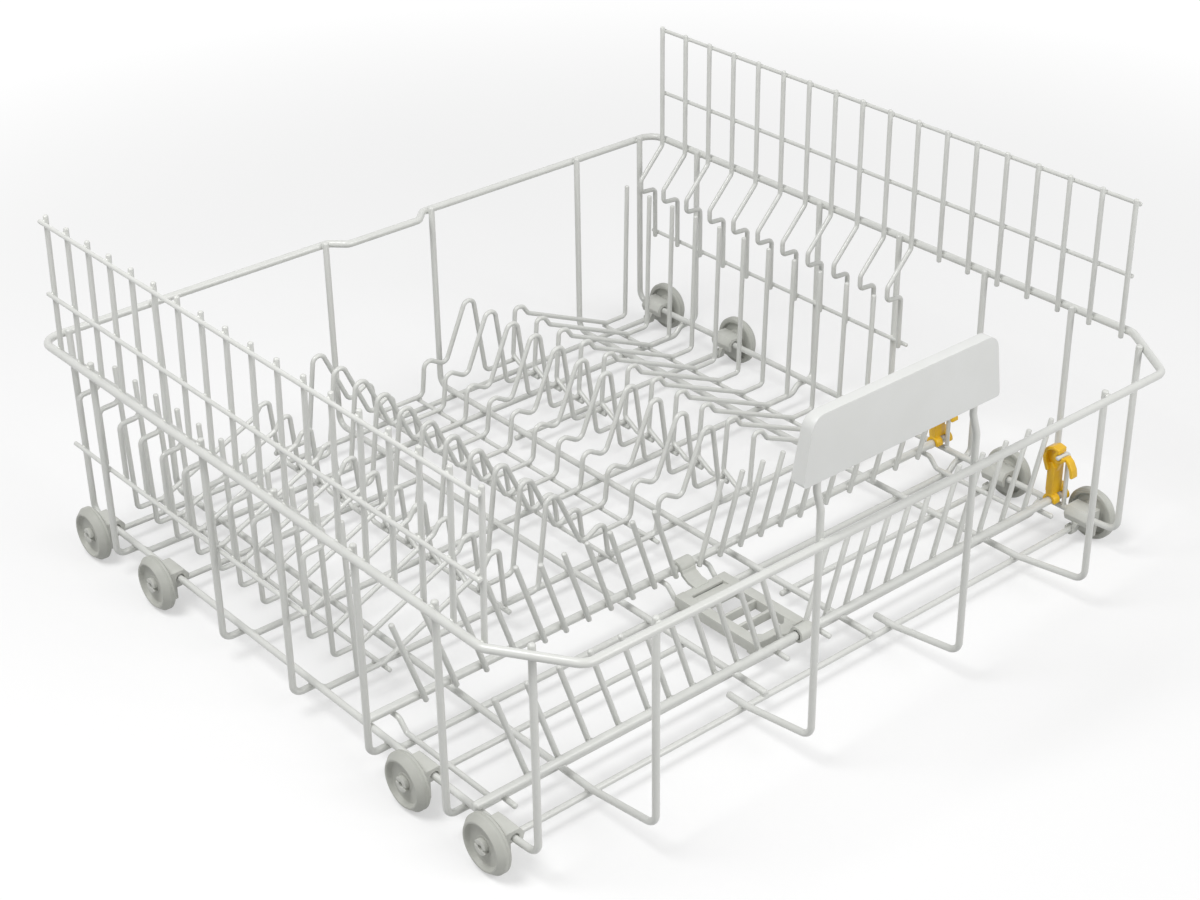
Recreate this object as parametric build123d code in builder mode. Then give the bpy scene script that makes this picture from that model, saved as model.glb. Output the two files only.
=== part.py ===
"""Lower rack of a dishwasher: a coated wire basket on eight wheels with two rows of folding spikes.

Millimetres. X runs to the right, Y to the back, Z up. The wheels stand on Z = 0.
"""

import os
from math import radians, sin, tan

from build123d import *

os.makedirs("parts", exist_ok=True)

# Wire diameters
rim_d = 5.0
frame_d = 4.2
axle_wire_d = 3.8
plate_d = 3.3
tie_d = 2.8
bar_d = 3.3
fence_rail_d = 2.7
rail_d = 5.4
prong_d = 3.4
support_d = 3.3
hoop_d = 3.0

# Gaps: welded crossings, clipped fits, pieces that move past each other
weld = 0.05
fit = 0.1
turn_gap = 0.3
end_round = 0.3

# Rim
rim_x = 250.0
rim_y = 240.0
rim_z = 147.5
rim_back_bend = 12.0
rim_front_bend = 10.0
rim_cut_x = 29.0
rim_cut_y = 44.0
jog_half = 29.0
jog_depth = 10.0
jog_bend = 6.0
tip_over_rim = 4.0

# Floor levels
floor_z = 10.1
corner_z = 15.9
front_bend_z = 21.5
long_z = floor_z + frame_d + weld
side_z = corner_z + frame_d + weld
axle_wire_z = long_z - frame_d / 2 - axle_wire_d / 2 - weld
plate_z = long_z + frame_d / 2 + plate_d / 2 + weld
tie_z = plate_z - plate_d / 2 - tie_d / 2 - weld
rail_z = side_z + frame_d / 2 + rail_d / 2 + turn_gap
support_z = rail_z - rail_d / 2 - support_d / 2 - turn_gap
support_low_z = floor_z + frame_d / 2 + support_d / 2 + weld
post_top = rim_z + tip_over_rim

# Frame wires
post_x = rim_x - rim_d / 2 - frame_d / 2 - weld
post_y = rim_y - rim_d / 2 - frame_d / 2 - weld
cross_bend = 6.0
step_outer_x = 230.5
step_inner_x = 224.5
long_bend = 8.0
outer_long_x = 173.0
mid_long_x = 43.5
mid_long_front_y = 56.0 - rim_y
long_rise_y = 56.0 - rim_y
side_x = 233.0
side_rise_y = 44.0 - rim_y
handle_post_x = 60.0
handle_foot_y = 70.0 - rim_y
handle_foot_rise_y = 54.0 - rim_y
handle_lean_low = 18.0
handle_lean_high = 28.0

# Wheels, brackets and the wires between them
wheel_from_back = (22.6, 99.5)
wheel_from_front = (123.0, 54.6)
wheel_y = [rim_y - inset for inset in wheel_from_back] + [inset - rim_y for inset in wheel_from_front]
wheel_r = 17.5
wheel_width = 8.0
wheel_inner_x = 241.2
wheel_bevel_along = 3.6
wheel_bevel_in = 3.0
wheel_lip = 1.2
wheel_dish = 3.0
wheel_dish_slope = 1.0
wheel_inner_dish = 2.6
wheel_inner_lip = 2.4
axle_wire_offset = 3.8
axle_wire_end_x = 232.0
axle_wire_split_x = 38.0
bracket_inner_x = 226.5
bracket_outer_x = 240.2
bracket_half = 9.0
bracket_low = 6.8
bracket_high = 25.6
bracket_chamfer = 2.0
axle_r = 3.8
axle_head_r = 4.7
axle_head_length = 2.4
axle_head_taper = 12.0
axle_slot = 1.4
hub_r = 7.5
hub_length = 5.4
bore_r = axle_r + fit

# Side fences
bar_count = 18
bent_bar_count = 11
bar_from_back = {-1: 17.8, 1: 15.3}
bar_from_front = 49.56
bar_first_y = {side: rim_y - inset for side, inset in bar_from_back.items()}
fence_lean = {-1: 2.5, 1: 0.0}
bar_pitch = (bar_first_y[1] + rim_y - bar_from_front) / (bar_count - 1)
bar_rise = 87.0
bar_top = rim_z + bar_rise
bar_x = rim_x - rim_d / 2 - bar_d / 2 - weld
fence_rail_x = bar_x + bar_d / 2 + fence_rail_d / 2 + weld
upper_rail_rise = 83.0
middle_rail_rise = 36.3
fence_rail_over_back = 3.0
fence_rail_over_front = 1.8
low_rail_x = post_x - frame_d / 2 - fence_rail_d / 2 - weld
low_rail_drop = 71.0
low_rail_height = rim_z - low_rail_drop
low_rail_over = 5.5
low_rail_front_y = bar_first_y[1] - bar_pitch * (bent_bar_count - 1) - low_rail_over
low_rail_back_y = rim_y - 9.0
low_bar_x = low_rail_x - fence_rail_d / 2 - bar_d / 2 - weld
bar_waist_x = 225.0
bar_bend = 3.6
bar_bend_drop = 3.0
bar_waist_drop = 25.0
bar_waist_low_drop = 34.5
bar_return_drop = 35.5
bar_under_rail = 3.0
straight_bar_drop = 4.5
straight_bar_foot = rim_z - straight_bar_drop

# Each cross wire stands in front of one bar of the right fence
cross_bars = (1, 6, 9, 12, 15)
cross_bar_gaps = (13.28, 14.18, 14.32, 14.66, 11.1)
cross_y = [bar_first_y[1] - bar_pitch * bar - gap for bar, gap in zip(cross_bars, cross_bar_gaps)]

# Rails of the spike rows
rear_rail_y = 173.0 - rim_y
front_rail_y = 74.5 - rim_y

# Plate rows
row_count = 11
row_first_y = rim_y - 15.3
row_last_y = rear_rail_y + 46.7
row_pitch = (row_first_y - row_last_y) / (row_count - 1)
plate_end_x = 104.0
rack_x = 101.3
rack_tail = 5.0
rack_foot_rise = 13.0
rack_low_x = 190.0
rack_prong_x = 208.5
rack_tip_x = 211.3
rack_tip_drop = 25.0
rack_tip_z = rim_z - rack_tip_drop
rack_bend = 3.3
rack_hump = 0.55
rack_crest_x = 104.5
rack_crest_drop = 88.5
rack_brow_x = 111.5
rack_brow_drop = 90.0
rack_slope_x = 116.0
rack_slope_drop = 96.6
plate_bend = 5.0
plate_inner_x = 19.8
plate_low_tip_x = 23.0
plate_low_tip_drop = 101.5
plate_valley_x = 41.0
plate_valley_drop = 111.7
plate_high_tip_x = 65.6
plate_high_tip_drop = 56.6
plate_outer_x = 75.9
tie_x = (17.0, 190.0)
tie_over_back = 4.0
tie_over_front = 6.0

# Spike rows
rail_left_end_x = 237.5
rail_right_end_x = 239.5
rail_middle = 0.6
prong_first_x = 10.2
prong_pitch = 17.3
prong_close_count = 6
prong_wide_pitch = 21.5
prong_wide_count = 5
prong_lean = tan(radians(18.5))
prong_close_above = 52.0
prong_wide_above = 58.0
prong_below = 3.0
prong_offset = rail_d / 2 + prong_d / 2 + weld
prong_left_inset = 7.5
support_x = (17.0, 217.0)
support_back = 8.0
support_front = 10.0
support_rear_step = 5.0
support_front_step = 4.0
support_bend = 4.0

# Levers and the hoops they catch
hoop_front = 5.7
hoop_z = 59.5
hoop_inner_x = 221.0
lever_x = 224.5
lever_clip_1 = 5.7
lever_clip_2_x = 235.8
lever_clip_2 = 4.0
lever_body_width = 9.5
lever_hook_x = 222.5
lever_hook_width = 8.1
lever_wall = 2.15
hoop_rise = hoop_z - rail_z
hook_inner = hoop_d / 2 + turn_gap + 0.05
hook_outer = hook_inner + lever_wall + 0.3

# Centre bearing
bearing_half = 20.5
bearing_strap_half = 5.8
bearing_wall = 2.2
bearing_back = 15.0
bearing_front = 14.5
bearing_top = 19.5
bearing_bottom = floor_z + frame_d / 2 + 0.15

# Handle
handle_front_y = -237.0
handle_z = rim_z + 36.5
handle_height = 39.0
handle_half_low = 75.0
handle_half_high = 69.3
handle_deep_low = 10.5
handle_deep_high = 8.2
handle_corner = 9.0
handle_wall = 2.0
handle_edge = 1.2
handle_post_y = handle_front_y + 5.0
handle_socket = 28.0


def bent_path(points, bends):
    """Returns a line through the points with its inner corners rounded by the given radii."""
    corners = [Vector(*point) for point in points]
    if not isinstance(bends, (list, tuple)):
        bends = [bends] * (len(corners) - 2)
    with BuildLine(mode=Mode.PRIVATE) as path:
        start = corners[0]
        for before, corner, after, radius in zip(corners, corners[1:], corners[2:], bends):
            back = (before - corner).normalized()
            ahead = (after - corner).normalized()
            half = radians(back.get_angle(ahead) / 2)
            reach = radius / tan(half)
            middle = (back + ahead).normalized() * (radius / sin(half) - radius)
            Line(start, corner + back * reach)
            ThreePointArc(corner + back * reach, corner + middle, corner + ahead * reach)
            start = corner + ahead * reach
        Line(start, corners[-1])
    return path.line


def wire(points, diameter, bends=0.0, closed=False):
    """Returns a round wire along the points, with its ends rounded unless it is a closed loop."""
    path = bent_path(points, bends)
    with BuildPart(mode=Mode.PRIVATE) as rod:
        with BuildSketch(Plane(origin=path @ 0, z_dir=path % 0)):
            Circle(diameter / 2)
        sweep(path=path)
        if not closed:
            fillet(rod.faces().filter_by(GeomType.PLANE).edges(), radius=end_round * diameter)
    return rod.part


def save(part, name):
    """Labels a sub-part and writes its file."""
    part.label = name
    export_step(part, f"parts/{name}.step")


def side_name(side):
    """Returns the word for the left (-1) or right (+1) side."""
    return "left" if side < 0 else "right"


# Rim
cut_y = -rim_y + rim_cut_y
right_rim = [
    (rim_x - rim_cut_x, -rim_y, rim_z),
    (rim_x, cut_y, rim_z),
    (rim_x, rim_y, rim_z),
    (jog_half + jog_depth, rim_y, rim_z),
    (jog_half, rim_y - jog_depth, rim_z),
]
left_rim = [(-x, y, z) for x, y, z in reversed(right_rim)]
rim_start = (0.0, -rim_y, rim_z)
right_bends = [rim_front_bend, rim_front_bend, rim_back_bend, jog_bend, jog_bend]
with BuildPart() as rim_wire:
    add(
        wire(
            [rim_start, *right_rim, *left_rim, rim_start],
            rim_d,
            [*right_bends, *reversed(right_bends)],
            closed=True,
        )
    )
save(rim_wire.part, "rim_wire")

# Cross wires
cross_half = [
    (post_x, post_top),
    (post_x, corner_z),
    (step_outer_x, corner_z),
    (step_inner_x, floor_z),
]
cross_profile = [(-x, z) for x, z in cross_half] + list(reversed(cross_half))
cross_one = wire([(x, 0.0, z) for x, z in cross_profile], frame_d, cross_bend)
with BuildPart() as cross_wires:
    with Locations([(0.0, y, 0.0) for y in cross_y]):
        add(cross_one)
save(cross_wires.part, "cross_wires")

# Long wires of the floor and the posts they end in
outer_long = wire(
    [
        (0.0, post_y, post_top),
        (0.0, post_y, long_z),
        (0.0, long_rise_y, long_z),
        (0.0, -post_y, front_bend_z),
        (0.0, -post_y, post_top),
    ],
    frame_d,
    long_bend,
)
with BuildPart() as outer_floor_wires:
    with Locations((-outer_long_x, 0.0, 0.0), (outer_long_x, 0.0, 0.0)):
        add(outer_long)
save(outer_floor_wires.part, "outer_floor_wires")

mid_long = wire(
    [(0.0, post_y, post_top), (0.0, post_y, long_z), (0.0, mid_long_front_y, long_z)],
    frame_d,
    long_bend,
)
with BuildPart() as mid_floor_wires:
    with Locations((-mid_long_x, 0.0, 0.0), (mid_long_x, 0.0, 0.0)):
        add(mid_long)
save(mid_floor_wires.part, "mid_floor_wires")

handle_post = wire(
    [
        (0.0, handle_foot_y, long_z),
        (0.0, handle_foot_rise_y, long_z),
        (0.0, -post_y, front_bend_z),
        (0.0, -post_y, rim_z + handle_lean_low),
        (0.0, handle_post_y, rim_z + handle_lean_high),
        (0.0, handle_post_y, handle_z + handle_socket - 1.0),
    ],
    frame_d,
    long_bend,
)
with BuildPart() as handle_posts:
    with Locations((-handle_post_x, 0.0, 0.0), (handle_post_x, 0.0, 0.0)):
        add(handle_post)
save(handle_posts.part, "handle_posts")

# Side rails: the front upright stands inside the rim's diagonal corner
diagonal = Vector(-rim_cut_x, -rim_cut_y, 0.0).normalized()
inward = Vector(diagonal.Y, -diagonal.X, 0.0)
stand_off = rim_d / 2 + frame_d / 2 + weld
along = (rim_x + inward.X * stand_off - side_x) / -diagonal.X
side_front_y = cut_y + diagonal.Y * along + inward.Y * stand_off
side_rail = wire(
    [
        (0.0, post_y, post_top),
        (0.0, post_y, side_z),
        (0.0, side_rise_y, side_z),
        (0.0, side_front_y, front_bend_z),
        (0.0, side_front_y, post_top),
    ],
    frame_d,
    long_bend,
)
with BuildPart() as side_rails:
    with Locations((-side_x, 0.0, 0.0), (side_x, 0.0, 0.0)):
        add(side_rail)
save(side_rails.part, "side_rails")

# Axle wires: the first and last row run through, the two middle rows are split
axle_wire_y = [y + axle_wire_offset for y in wheel_y]
axle_long = wire([(-axle_wire_end_x, 0, axle_wire_z), (axle_wire_end_x, 0, axle_wire_z)], axle_wire_d)
axle_left = wire([(-axle_wire_end_x, 0, axle_wire_z), (-axle_wire_split_x, 0, axle_wire_z)], axle_wire_d)
axle_right = wire([(axle_wire_split_x, 0, axle_wire_z), (axle_wire_end_x, 0, axle_wire_z)], axle_wire_d)
with BuildPart() as long_axle_wires:
    with Locations((0.0, axle_wire_y[0], 0.0), (0.0, axle_wire_y[3], 0.0)):
        add(axle_long)
save(long_axle_wires.part, "long_axle_wires")
with BuildPart() as split_axle_wires:
    with Locations((0.0, axle_wire_y[1], 0.0), (0.0, axle_wire_y[2], 0.0)):
        add([axle_left, axle_right])
save(split_axle_wires.part, "split_axle_wires")

# Side fences
for side in (-1, 1):
    bar_y = [bar_first_y[side] - bar_pitch * index for index in range(bar_count)]
    bar_top_x = bar_x - fence_lean[side]
    lean_slope = fence_lean[side] / (bar_rise + bar_bend_drop)
    bent_bar = wire(
        [
            (side * bar_top_x, 0.0, bar_top),
            (side * bar_x, 0.0, rim_z - bar_bend_drop),
            (side * bar_waist_x, 0.0, rim_z - bar_waist_drop),
            (side * bar_waist_x, 0.0, rim_z - bar_waist_low_drop),
            (side * low_bar_x, 0.0, rim_z - bar_return_drop),
            (side * low_bar_x, 0.0, low_rail_height - bar_under_rail),
        ],
        bar_d,
        bar_bend,
    )
    straight_bar = wire(
        [(side * bar_top_x, 0.0, bar_top), (side * bar_x, 0.0, straight_bar_foot)],
        bar_d,
    )
    with BuildPart() as bent_bars:
        with Locations([(0.0, y, 0.0) for y in bar_y[:bent_bar_count]]):
            add(bent_bar)
    save(bent_bars.part, f"bent_bars_{side_name(side)}")
    with BuildPart() as straight_bars:
        with Locations([(0.0, y, 0.0) for y in bar_y[bent_bar_count:]]):
            add(straight_bar)
    save(straight_bars.part, f"straight_bars_{side_name(side)}")
    rails = []
    for rise in (upper_rail_rise, middle_rail_rise):
        rail_x = side * (fence_rail_x - lean_slope * (rise + bar_bend_drop))
        rails.append(
            wire(
                [
                    (rail_x, bar_y[0] + fence_rail_over_back, rim_z + rise),
                    (rail_x, bar_y[-1] - fence_rail_over_front, rim_z + rise),
                ],
                fence_rail_d,
            )
        )
    rails.append(
        wire(
            [
                (side * low_rail_x, low_rail_back_y, low_rail_height),
                (side * low_rail_x, low_rail_front_y, low_rail_height),
            ],
            fence_rail_d,
        )
    )
    with BuildPart() as fence_rails:
        add(rails)
    save(fence_rails.part, f"fence_rails_{side_name(side)}")

# Plate rows: half of the outline from the middle outwards, and the radius of each corner
row_y = [row_first_y - row_pitch * index for index in range(row_count)]
plate_half = [
    (plate_inner_x, plate_z),
    (plate_low_tip_x, rim_z - plate_low_tip_drop),
    (plate_valley_x, rim_z - plate_valley_drop),
    (plate_high_tip_x, rim_z - plate_high_tip_drop),
    (plate_outer_x, plate_z),
]
plate_bends = [plate_bend] * len(plate_half)
rack_outline = [
    (rack_crest_x, rim_z - rack_crest_drop),
    (rack_brow_x, rim_z - rack_brow_drop),
    (rack_slope_x, rim_z - rack_slope_drop),
    (rack_low_x, plate_z),
    (rack_prong_x, plate_z),
]
rack_bends = [rack_bend] * len(rack_outline)
rack_tip = (rack_tip_x, rack_tip_z)


def mirrored(half):
    """Returns an outline given from the middle outwards, completed to both sides."""
    return [(-x, z) for x, z in reversed(half)] + list(half)


plate_one = wire(
    [(x, 0.0, z) for x, z in mirrored([*plate_half, (plate_end_x, plate_z)])],
    plate_d,
    [*reversed(plate_bends), *plate_bends],
)
with BuildPart() as plate_wires:
    with Locations([(0.0, y, 0.0) for y in row_y[:-1]]):
        add(plate_one)
save(plate_wires.part, "plate_wires")

end_outline = [*plate_half, (rack_x, plate_z), *rack_outline, rack_tip]
end_bends = [*plate_bends, rack_bend, *rack_bends]
with BuildPart() as end_plate_wire:
    add(
        wire(
            [(x, row_y[-1], z) for x, z in mirrored(end_outline)],
            plate_d,
            [*reversed(end_bends), *end_bends],
        )
    )
save(end_plate_wire.part, "end_plate_wire")

# Side racks: each stands on the end of its own plate wire and passes under that of the next row
rack_foot_z = plate_z - plate_d - weld
rack_hump_z = plate_z + plate_d + rack_hump
for side in (-1, 1):
    rack_one = wire(
        [
            (side * rack_x, -row_pitch - rack_tail, rack_foot_z),
            (side * rack_x, -rack_foot_rise, rack_foot_z),
            (side * rack_x, 0.0, rack_hump_z),
            *[(side * x, 0.0, z) for x, z in rack_outline],
            (side * rack_tip[0], 0.0, rack_tip[1]),
        ],
        plate_d,
        [rack_bend, rack_bend, *rack_bends],
    )
    with BuildPart() as side_racks:
        with Locations([(0.0, y, 0.0) for y in row_y[:-1]]):
            add(rack_one)
    save(side_racks.part, f"side_racks_{side_name(side)}")

tie_one = wire(
    [(0.0, row_y[0] + tie_over_back, tie_z), (0.0, row_y[-1] - tie_over_front, tie_z)],
    tie_d,
)
with BuildPart() as tie_rods:
    with Locations([(side * x, 0.0, 0.0) for side in (-1, 1) for x in tie_x]):
        add(tie_one)
save(tie_rods.part, "tie_rods")

# Spike rows: the close spikes count from the middle, the wide ones inwards from the lever
prong_stop_x = min(hoop_inner_x, lever_hook_x) - turn_gap - prong_d / 2
prong_last_x = prong_stop_x - prong_lean * (hoop_rise + hook_outer)
prong_close_x = [prong_first_x + prong_pitch * index for index in range(prong_close_count)]
prong_wide_x = [prong_last_x - prong_wide_pitch * index for index in range(prong_wide_count)]
rail_rows = (("rear", rear_rail_y, -prong_offset), ("front", front_rail_y, prong_offset))
for row, rail_y, offset in rail_rows:
    with BuildPart() as fixed_rail:
        add(wire([(-rail_left_end_x, rail_y, rail_z), (-rail_middle, rail_y, rail_z)], rail_d))
    save(fixed_rail.part, f"{row}_fixed_rail")
    with BuildPart() as folding_rail:
        add(wire([(rail_middle, rail_y, rail_z), (rail_right_end_x, rail_y, rail_z)], rail_d))
    save(folding_rail.part, f"{row}_folding_rail")
    for side, kind in ((-1, "fixed"), (1, "folding")):
        inset = prong_left_inset if side < 0 else 0.0
        groups = ((prong_close_x, 0.0, prong_close_above), (prong_wide_x, inset, prong_wide_above))
        with BuildPart() as prongs:
            for places, shift, above in groups:
                prong = wire(
                    [
                        (-side * prong_lean * prong_below, rail_y + offset, rail_z - prong_below),
                        (side * prong_lean * above, rail_y + offset, rail_z + above),
                    ],
                    prong_d,
                )
                with Locations([(side * (x - shift), 0.0, 0.0) for x in places]):
                    add(prong)
        save(prongs.part, f"{row}_{kind}_prongs")

drop = support_z - support_low_z
support_one = wire(
    [
        (0.0, rear_rail_y + support_back, support_z),
        (0.0, rear_rail_y - support_rear_step, support_z),
        (0.0, rear_rail_y - support_rear_step - drop, support_low_z),
        (0.0, front_rail_y + support_front_step + drop, support_low_z),
        (0.0, front_rail_y + support_front_step, support_z),
        (0.0, front_rail_y - support_front, support_z),
    ],
    support_d,
    support_bend,
)
with BuildPart() as rail_supports:
    with Locations([(side * x, 0.0, 0.0) for side in (-1, 1) for x in support_x]):
        add(support_one)
save(rail_supports.part, "rail_supports")

# Levers on the right ends of the rails, and the hoops they catch
hoop_foot_z = side_z + frame_d / 2 + weld
hoop_reach = (hoop_front**2 + hoop_rise**2) ** 0.5
clip_inner = rail_d / 2 + weld
clip_outer = clip_inner + lever_wall
lever_stem = [(-2.2, 7.0), (3.6, 7.0), (3.6, 24.0), (1.4, 28.5), (-2.2, 26.0)]
lever_neck = [
    (-2.2, 21.0),
    (3.6, 21.0),
    (3.4, 26.5),
    (4.1 - hoop_front, hoop_rise + 2.0),
    (-hoop_front, hoop_rise - 3.25),
]
lever_tab = [
    (1.7 - hoop_front, hoop_rise - 5.75),
    (-hoop_front - 1.8, hoop_rise - 3.25),
    (-hoop_front - 6.3, hoop_rise - 6.05),
    (-hoop_front - 9.9, hoop_rise - 12.65),
    (-hoop_front - 7.5, hoop_rise - 14.05),
    (-hoop_front - 3.9, hoop_rise - 8.65),
]


def rail_plane(x, rail_y):
    """Returns a plane across a rail at a given width: u to the back, v up."""
    return Plane(origin=(x, rail_y, rail_z), x_dir=(0, 1, 0), z_dir=(1, 0, 0))


for row, rail_y, _ in rail_rows:
    with BuildPart() as lever_hoop:
        add(
            wire(
                [
                    (side_x, rail_y - hoop_front, hoop_foot_z),
                    (side_x, rail_y - hoop_front, hoop_z),
                    (hoop_inner_x, rail_y - hoop_front, hoop_z),
                ],
                hoop_d,
                hoop_d,
            )
        )
    save(lever_hoop.part, f"{row}_lever_hoop")
    with BuildPart() as lever:
        for clip_x, clip_width in ((lever_x, lever_clip_1), (lever_clip_2_x, lever_clip_2)):
            with BuildSketch(rail_plane(clip_x, rail_y)):
                Circle(clip_outer)
                with BuildLine():
                    Polyline((0, 0), (-12, -4), (-12, -12), (1.5, -12), (0, 0))
                make_face(mode=Mode.SUBTRACT)
                with Locations((0.7, clip_outer - 0.2)):
                    Rectangle(5.8, 2.6)
                Circle(clip_inner, mode=Mode.SUBTRACT)
            extrude(amount=clip_width)
        with BuildSketch(rail_plane(lever_x, rail_y)):
            with Locations((0.7, 6.4)):
                Rectangle(5.8, 3.6)
        extrude(amount=lever_clip_2_x + lever_clip_2 - lever_x)
        with BuildSketch(rail_plane(lever_x, rail_y)):
            with BuildLine():
                Polyline(*lever_stem, lever_stem[0])
            make_face()
        extrude(amount=lever_body_width)
        with BuildSketch(rail_plane(lever_hook_x, rail_y)):
            with Locations((-hoop_front, hoop_rise)):
                Circle(hook_outer)
            with BuildLine():
                Polyline(*lever_neck, lever_neck[0])
            make_face()
            with BuildLine():
                Polyline(*lever_tab, lever_tab[0])
            make_face()
            with Locations((-hoop_front, hoop_rise)):
                Circle(hook_inner, mode=Mode.SUBTRACT)
            with BuildSketch(mode=Mode.SUBTRACT):
                Circle(hoop_reach + hook_inner)
                Circle(hoop_reach - hook_inner, mode=Mode.SUBTRACT)
                with Locations((-hoop_front - 10.0, hoop_rise)):
                    Rectangle(20.0, 30.0, mode=Mode.INTERSECT)
        extrude(amount=lever_hook_width)
    save(lever.part, f"{row}_lever")

# Centre bearing: a frame over the two middle supports, a hook over the rear rail, a sleeve on the front rail
rear_neck = [
    (-2.0, 4.6),
    (-4.8, 2.2),
    (5.5 - bearing_back, -4.4),
    (-bearing_back - 3.5, bearing_top - rail_z - 0.25),
    (-bearing_back - 3.5, bearing_top - rail_z - 3.75),
    (7.0 - bearing_back, -8.8),
    (-2.0, -4.4),
]
front_neck = [
    (1.5, 5.0),
    (5.0, 3.0),
    (bearing_front - 5.5, -4.0),
    (bearing_front + 3.5, bearing_top - rail_z - 0.25),
    (bearing_front + 3.5, bearing_top - rail_z - 5.25),
    (bearing_front - 5.5, -11.0),
    (1.5, -5.0),
]
bearing_rear_y = rear_rail_y - bearing_back
bearing_front_y = front_rail_y + bearing_front
bearing_length = bearing_rear_y - bearing_front_y
bearing_mid_y = (bearing_rear_y + bearing_front_y) / 2
bearing_height = bearing_top - bearing_bottom
ring_inner = rail_d / 2 + turn_gap
ring_outer = ring_inner + bearing_wall
window_y = bearing_length / 3
with BuildPart() as centre_bearing:
    with Locations((0.0, bearing_mid_y, bearing_bottom)):
        Box(2 * bearing_half, bearing_length, bearing_height, align=(Align.CENTER, Align.CENTER, Align.MIN))
    fillet(centre_bearing.edges().filter_by(Axis.Z), radius=3.0)
    with Locations([(0.0, bearing_mid_y + step * window_y, 0.0) for step in (-1, 0, 1)]):
        Box(18.0, window_y - 3.4, 100.0, mode=Mode.SUBTRACT)
    with BuildSketch(rail_plane(-bearing_strap_half, rear_rail_y)):
        Circle(ring_outer)
        with BuildLine():
            Polyline((0, 0), (0, -12), (12, -12), (12, 0), (0, 0))
        make_face(mode=Mode.SUBTRACT)
        with BuildLine():
            Polyline(*rear_neck, rear_neck[0])
        make_face()
        Circle(ring_inner, mode=Mode.SUBTRACT)
    extrude(amount=2 * bearing_strap_half)
    with BuildSketch(rail_plane(-bearing_strap_half, front_rail_y)):
        Circle(ring_outer)
        with BuildLine():
            Polyline(*front_neck, front_neck[0])
        make_face()
        Circle(ring_inner, mode=Mode.SUBTRACT)
    extrude(amount=2 * bearing_strap_half)
    with Locations([(side * support_x[0], bearing_mid_y, support_low_z) for side in (-1, 1)]):
        Cylinder(
            support_d / 2 + weld,
            2 * bearing_length,
            rotation=(90, 0, 0),
            mode=Mode.SUBTRACT,
        )
        with Locations((0.0, 0.0, -support_d)):
            Box(support_d + 2 * weld, 2 * bearing_length, 2 * support_d, mode=Mode.SUBTRACT)
save(centre_bearing.part, "centre_bearing")

# Handle
handle_plane = Plane(origin=(0, handle_front_y, handle_z), x_dir=(1, 0, 0), z_dir=(0, -1, 0))
handle_side = Plane(origin=(0, handle_front_y, handle_z), x_dir=(0, 1, 0), z_dir=(1, 0, 0))


def handle_form(inset):
    """Returns the handle's body, or its hollow when inset by the wall."""
    floor = -1.0 if inset else 0.0
    with BuildPart(mode=Mode.PRIVATE) as form:
        with BuildSketch(handle_plane):
            with BuildLine():
                Polyline(
                    (inset - handle_half_low, floor),
                    (handle_half_low - inset, floor),
                    (handle_half_high - inset, handle_height - inset),
                    (inset - handle_half_high, handle_height - inset),
                    (inset - handle_half_low, floor),
                )
            face = make_face()
            fillet(face.vertices().sort_by(Axis.Y)[-2:], radius=handle_corner - inset)
        extrude(amount=-handle_deep_low)
        with BuildSketch(handle_side):
            with BuildLine():
                Polyline(
                    (inset, floor),
                    (handle_deep_low - inset, floor),
                    (handle_deep_high - inset, handle_height - inset),
                    (inset, handle_height - inset),
                    (inset, floor),
                )
            make_face()
        extrude(amount=2 * handle_half_low, both=True, mode=Mode.INTERSECT)
    return form.part


with BuildPart() as handle_panel:
    add(handle_form(0.0))
    front_edges = handle_panel.faces().sort_by(Axis.Y)[0].edges()
    upper_edges = front_edges.filter_by(lambda edge: edge.center().Z > handle_z + handle_wall / 2)
    fillet(upper_edges, radius=handle_edge)
    add(handle_form(handle_wall), mode=Mode.SUBTRACT)
    with Locations([(side * handle_post_x, handle_post_y, handle_z) for side in (-1, 1)]):
        Cylinder(frame_d / 2 + 1.6, handle_socket + 2.0, align=(Align.CENTER, Align.CENTER, Align.MIN))
        Cylinder(
            frame_d / 2 + fit,
            handle_socket,
            align=(Align.CENTER, Align.CENTER, Align.MIN),
            mode=Mode.SUBTRACT,
        )
save(handle_panel.part, "handle_panel")

# Wheels and their brackets
wheel_outline = [
    (0.0, bore_r),
    (0.0, hub_r),
    (wheel_inner_dish, hub_r + 0.6),
    (wheel_inner_dish, wheel_r - wheel_inner_lip - 1.8),
    (0.0, wheel_r - wheel_inner_lip - 1.0),
    (0.0, wheel_r - 1.0),
    (1.2, wheel_r),
    (wheel_width - wheel_bevel_along, wheel_r),
    (wheel_width, wheel_r - wheel_bevel_in),
    (wheel_width, wheel_r - wheel_bevel_in - wheel_lip),
    (wheel_width - wheel_dish, wheel_r - wheel_bevel_in - wheel_lip - wheel_dish_slope),
    (wheel_width - wheel_dish, hub_r),
    (hub_length, hub_r - 0.5),
    (hub_length, bore_r),
    (0.0, bore_r),
]
axle_start = bracket_outer_x - 1.0
axle_head_x = wheel_inner_x + hub_length + turn_gap
socket_depth = axle_wire_end_x + turn_gap - bracket_inner_x
socket_mid_x = bracket_inner_x + socket_depth / 2
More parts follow.
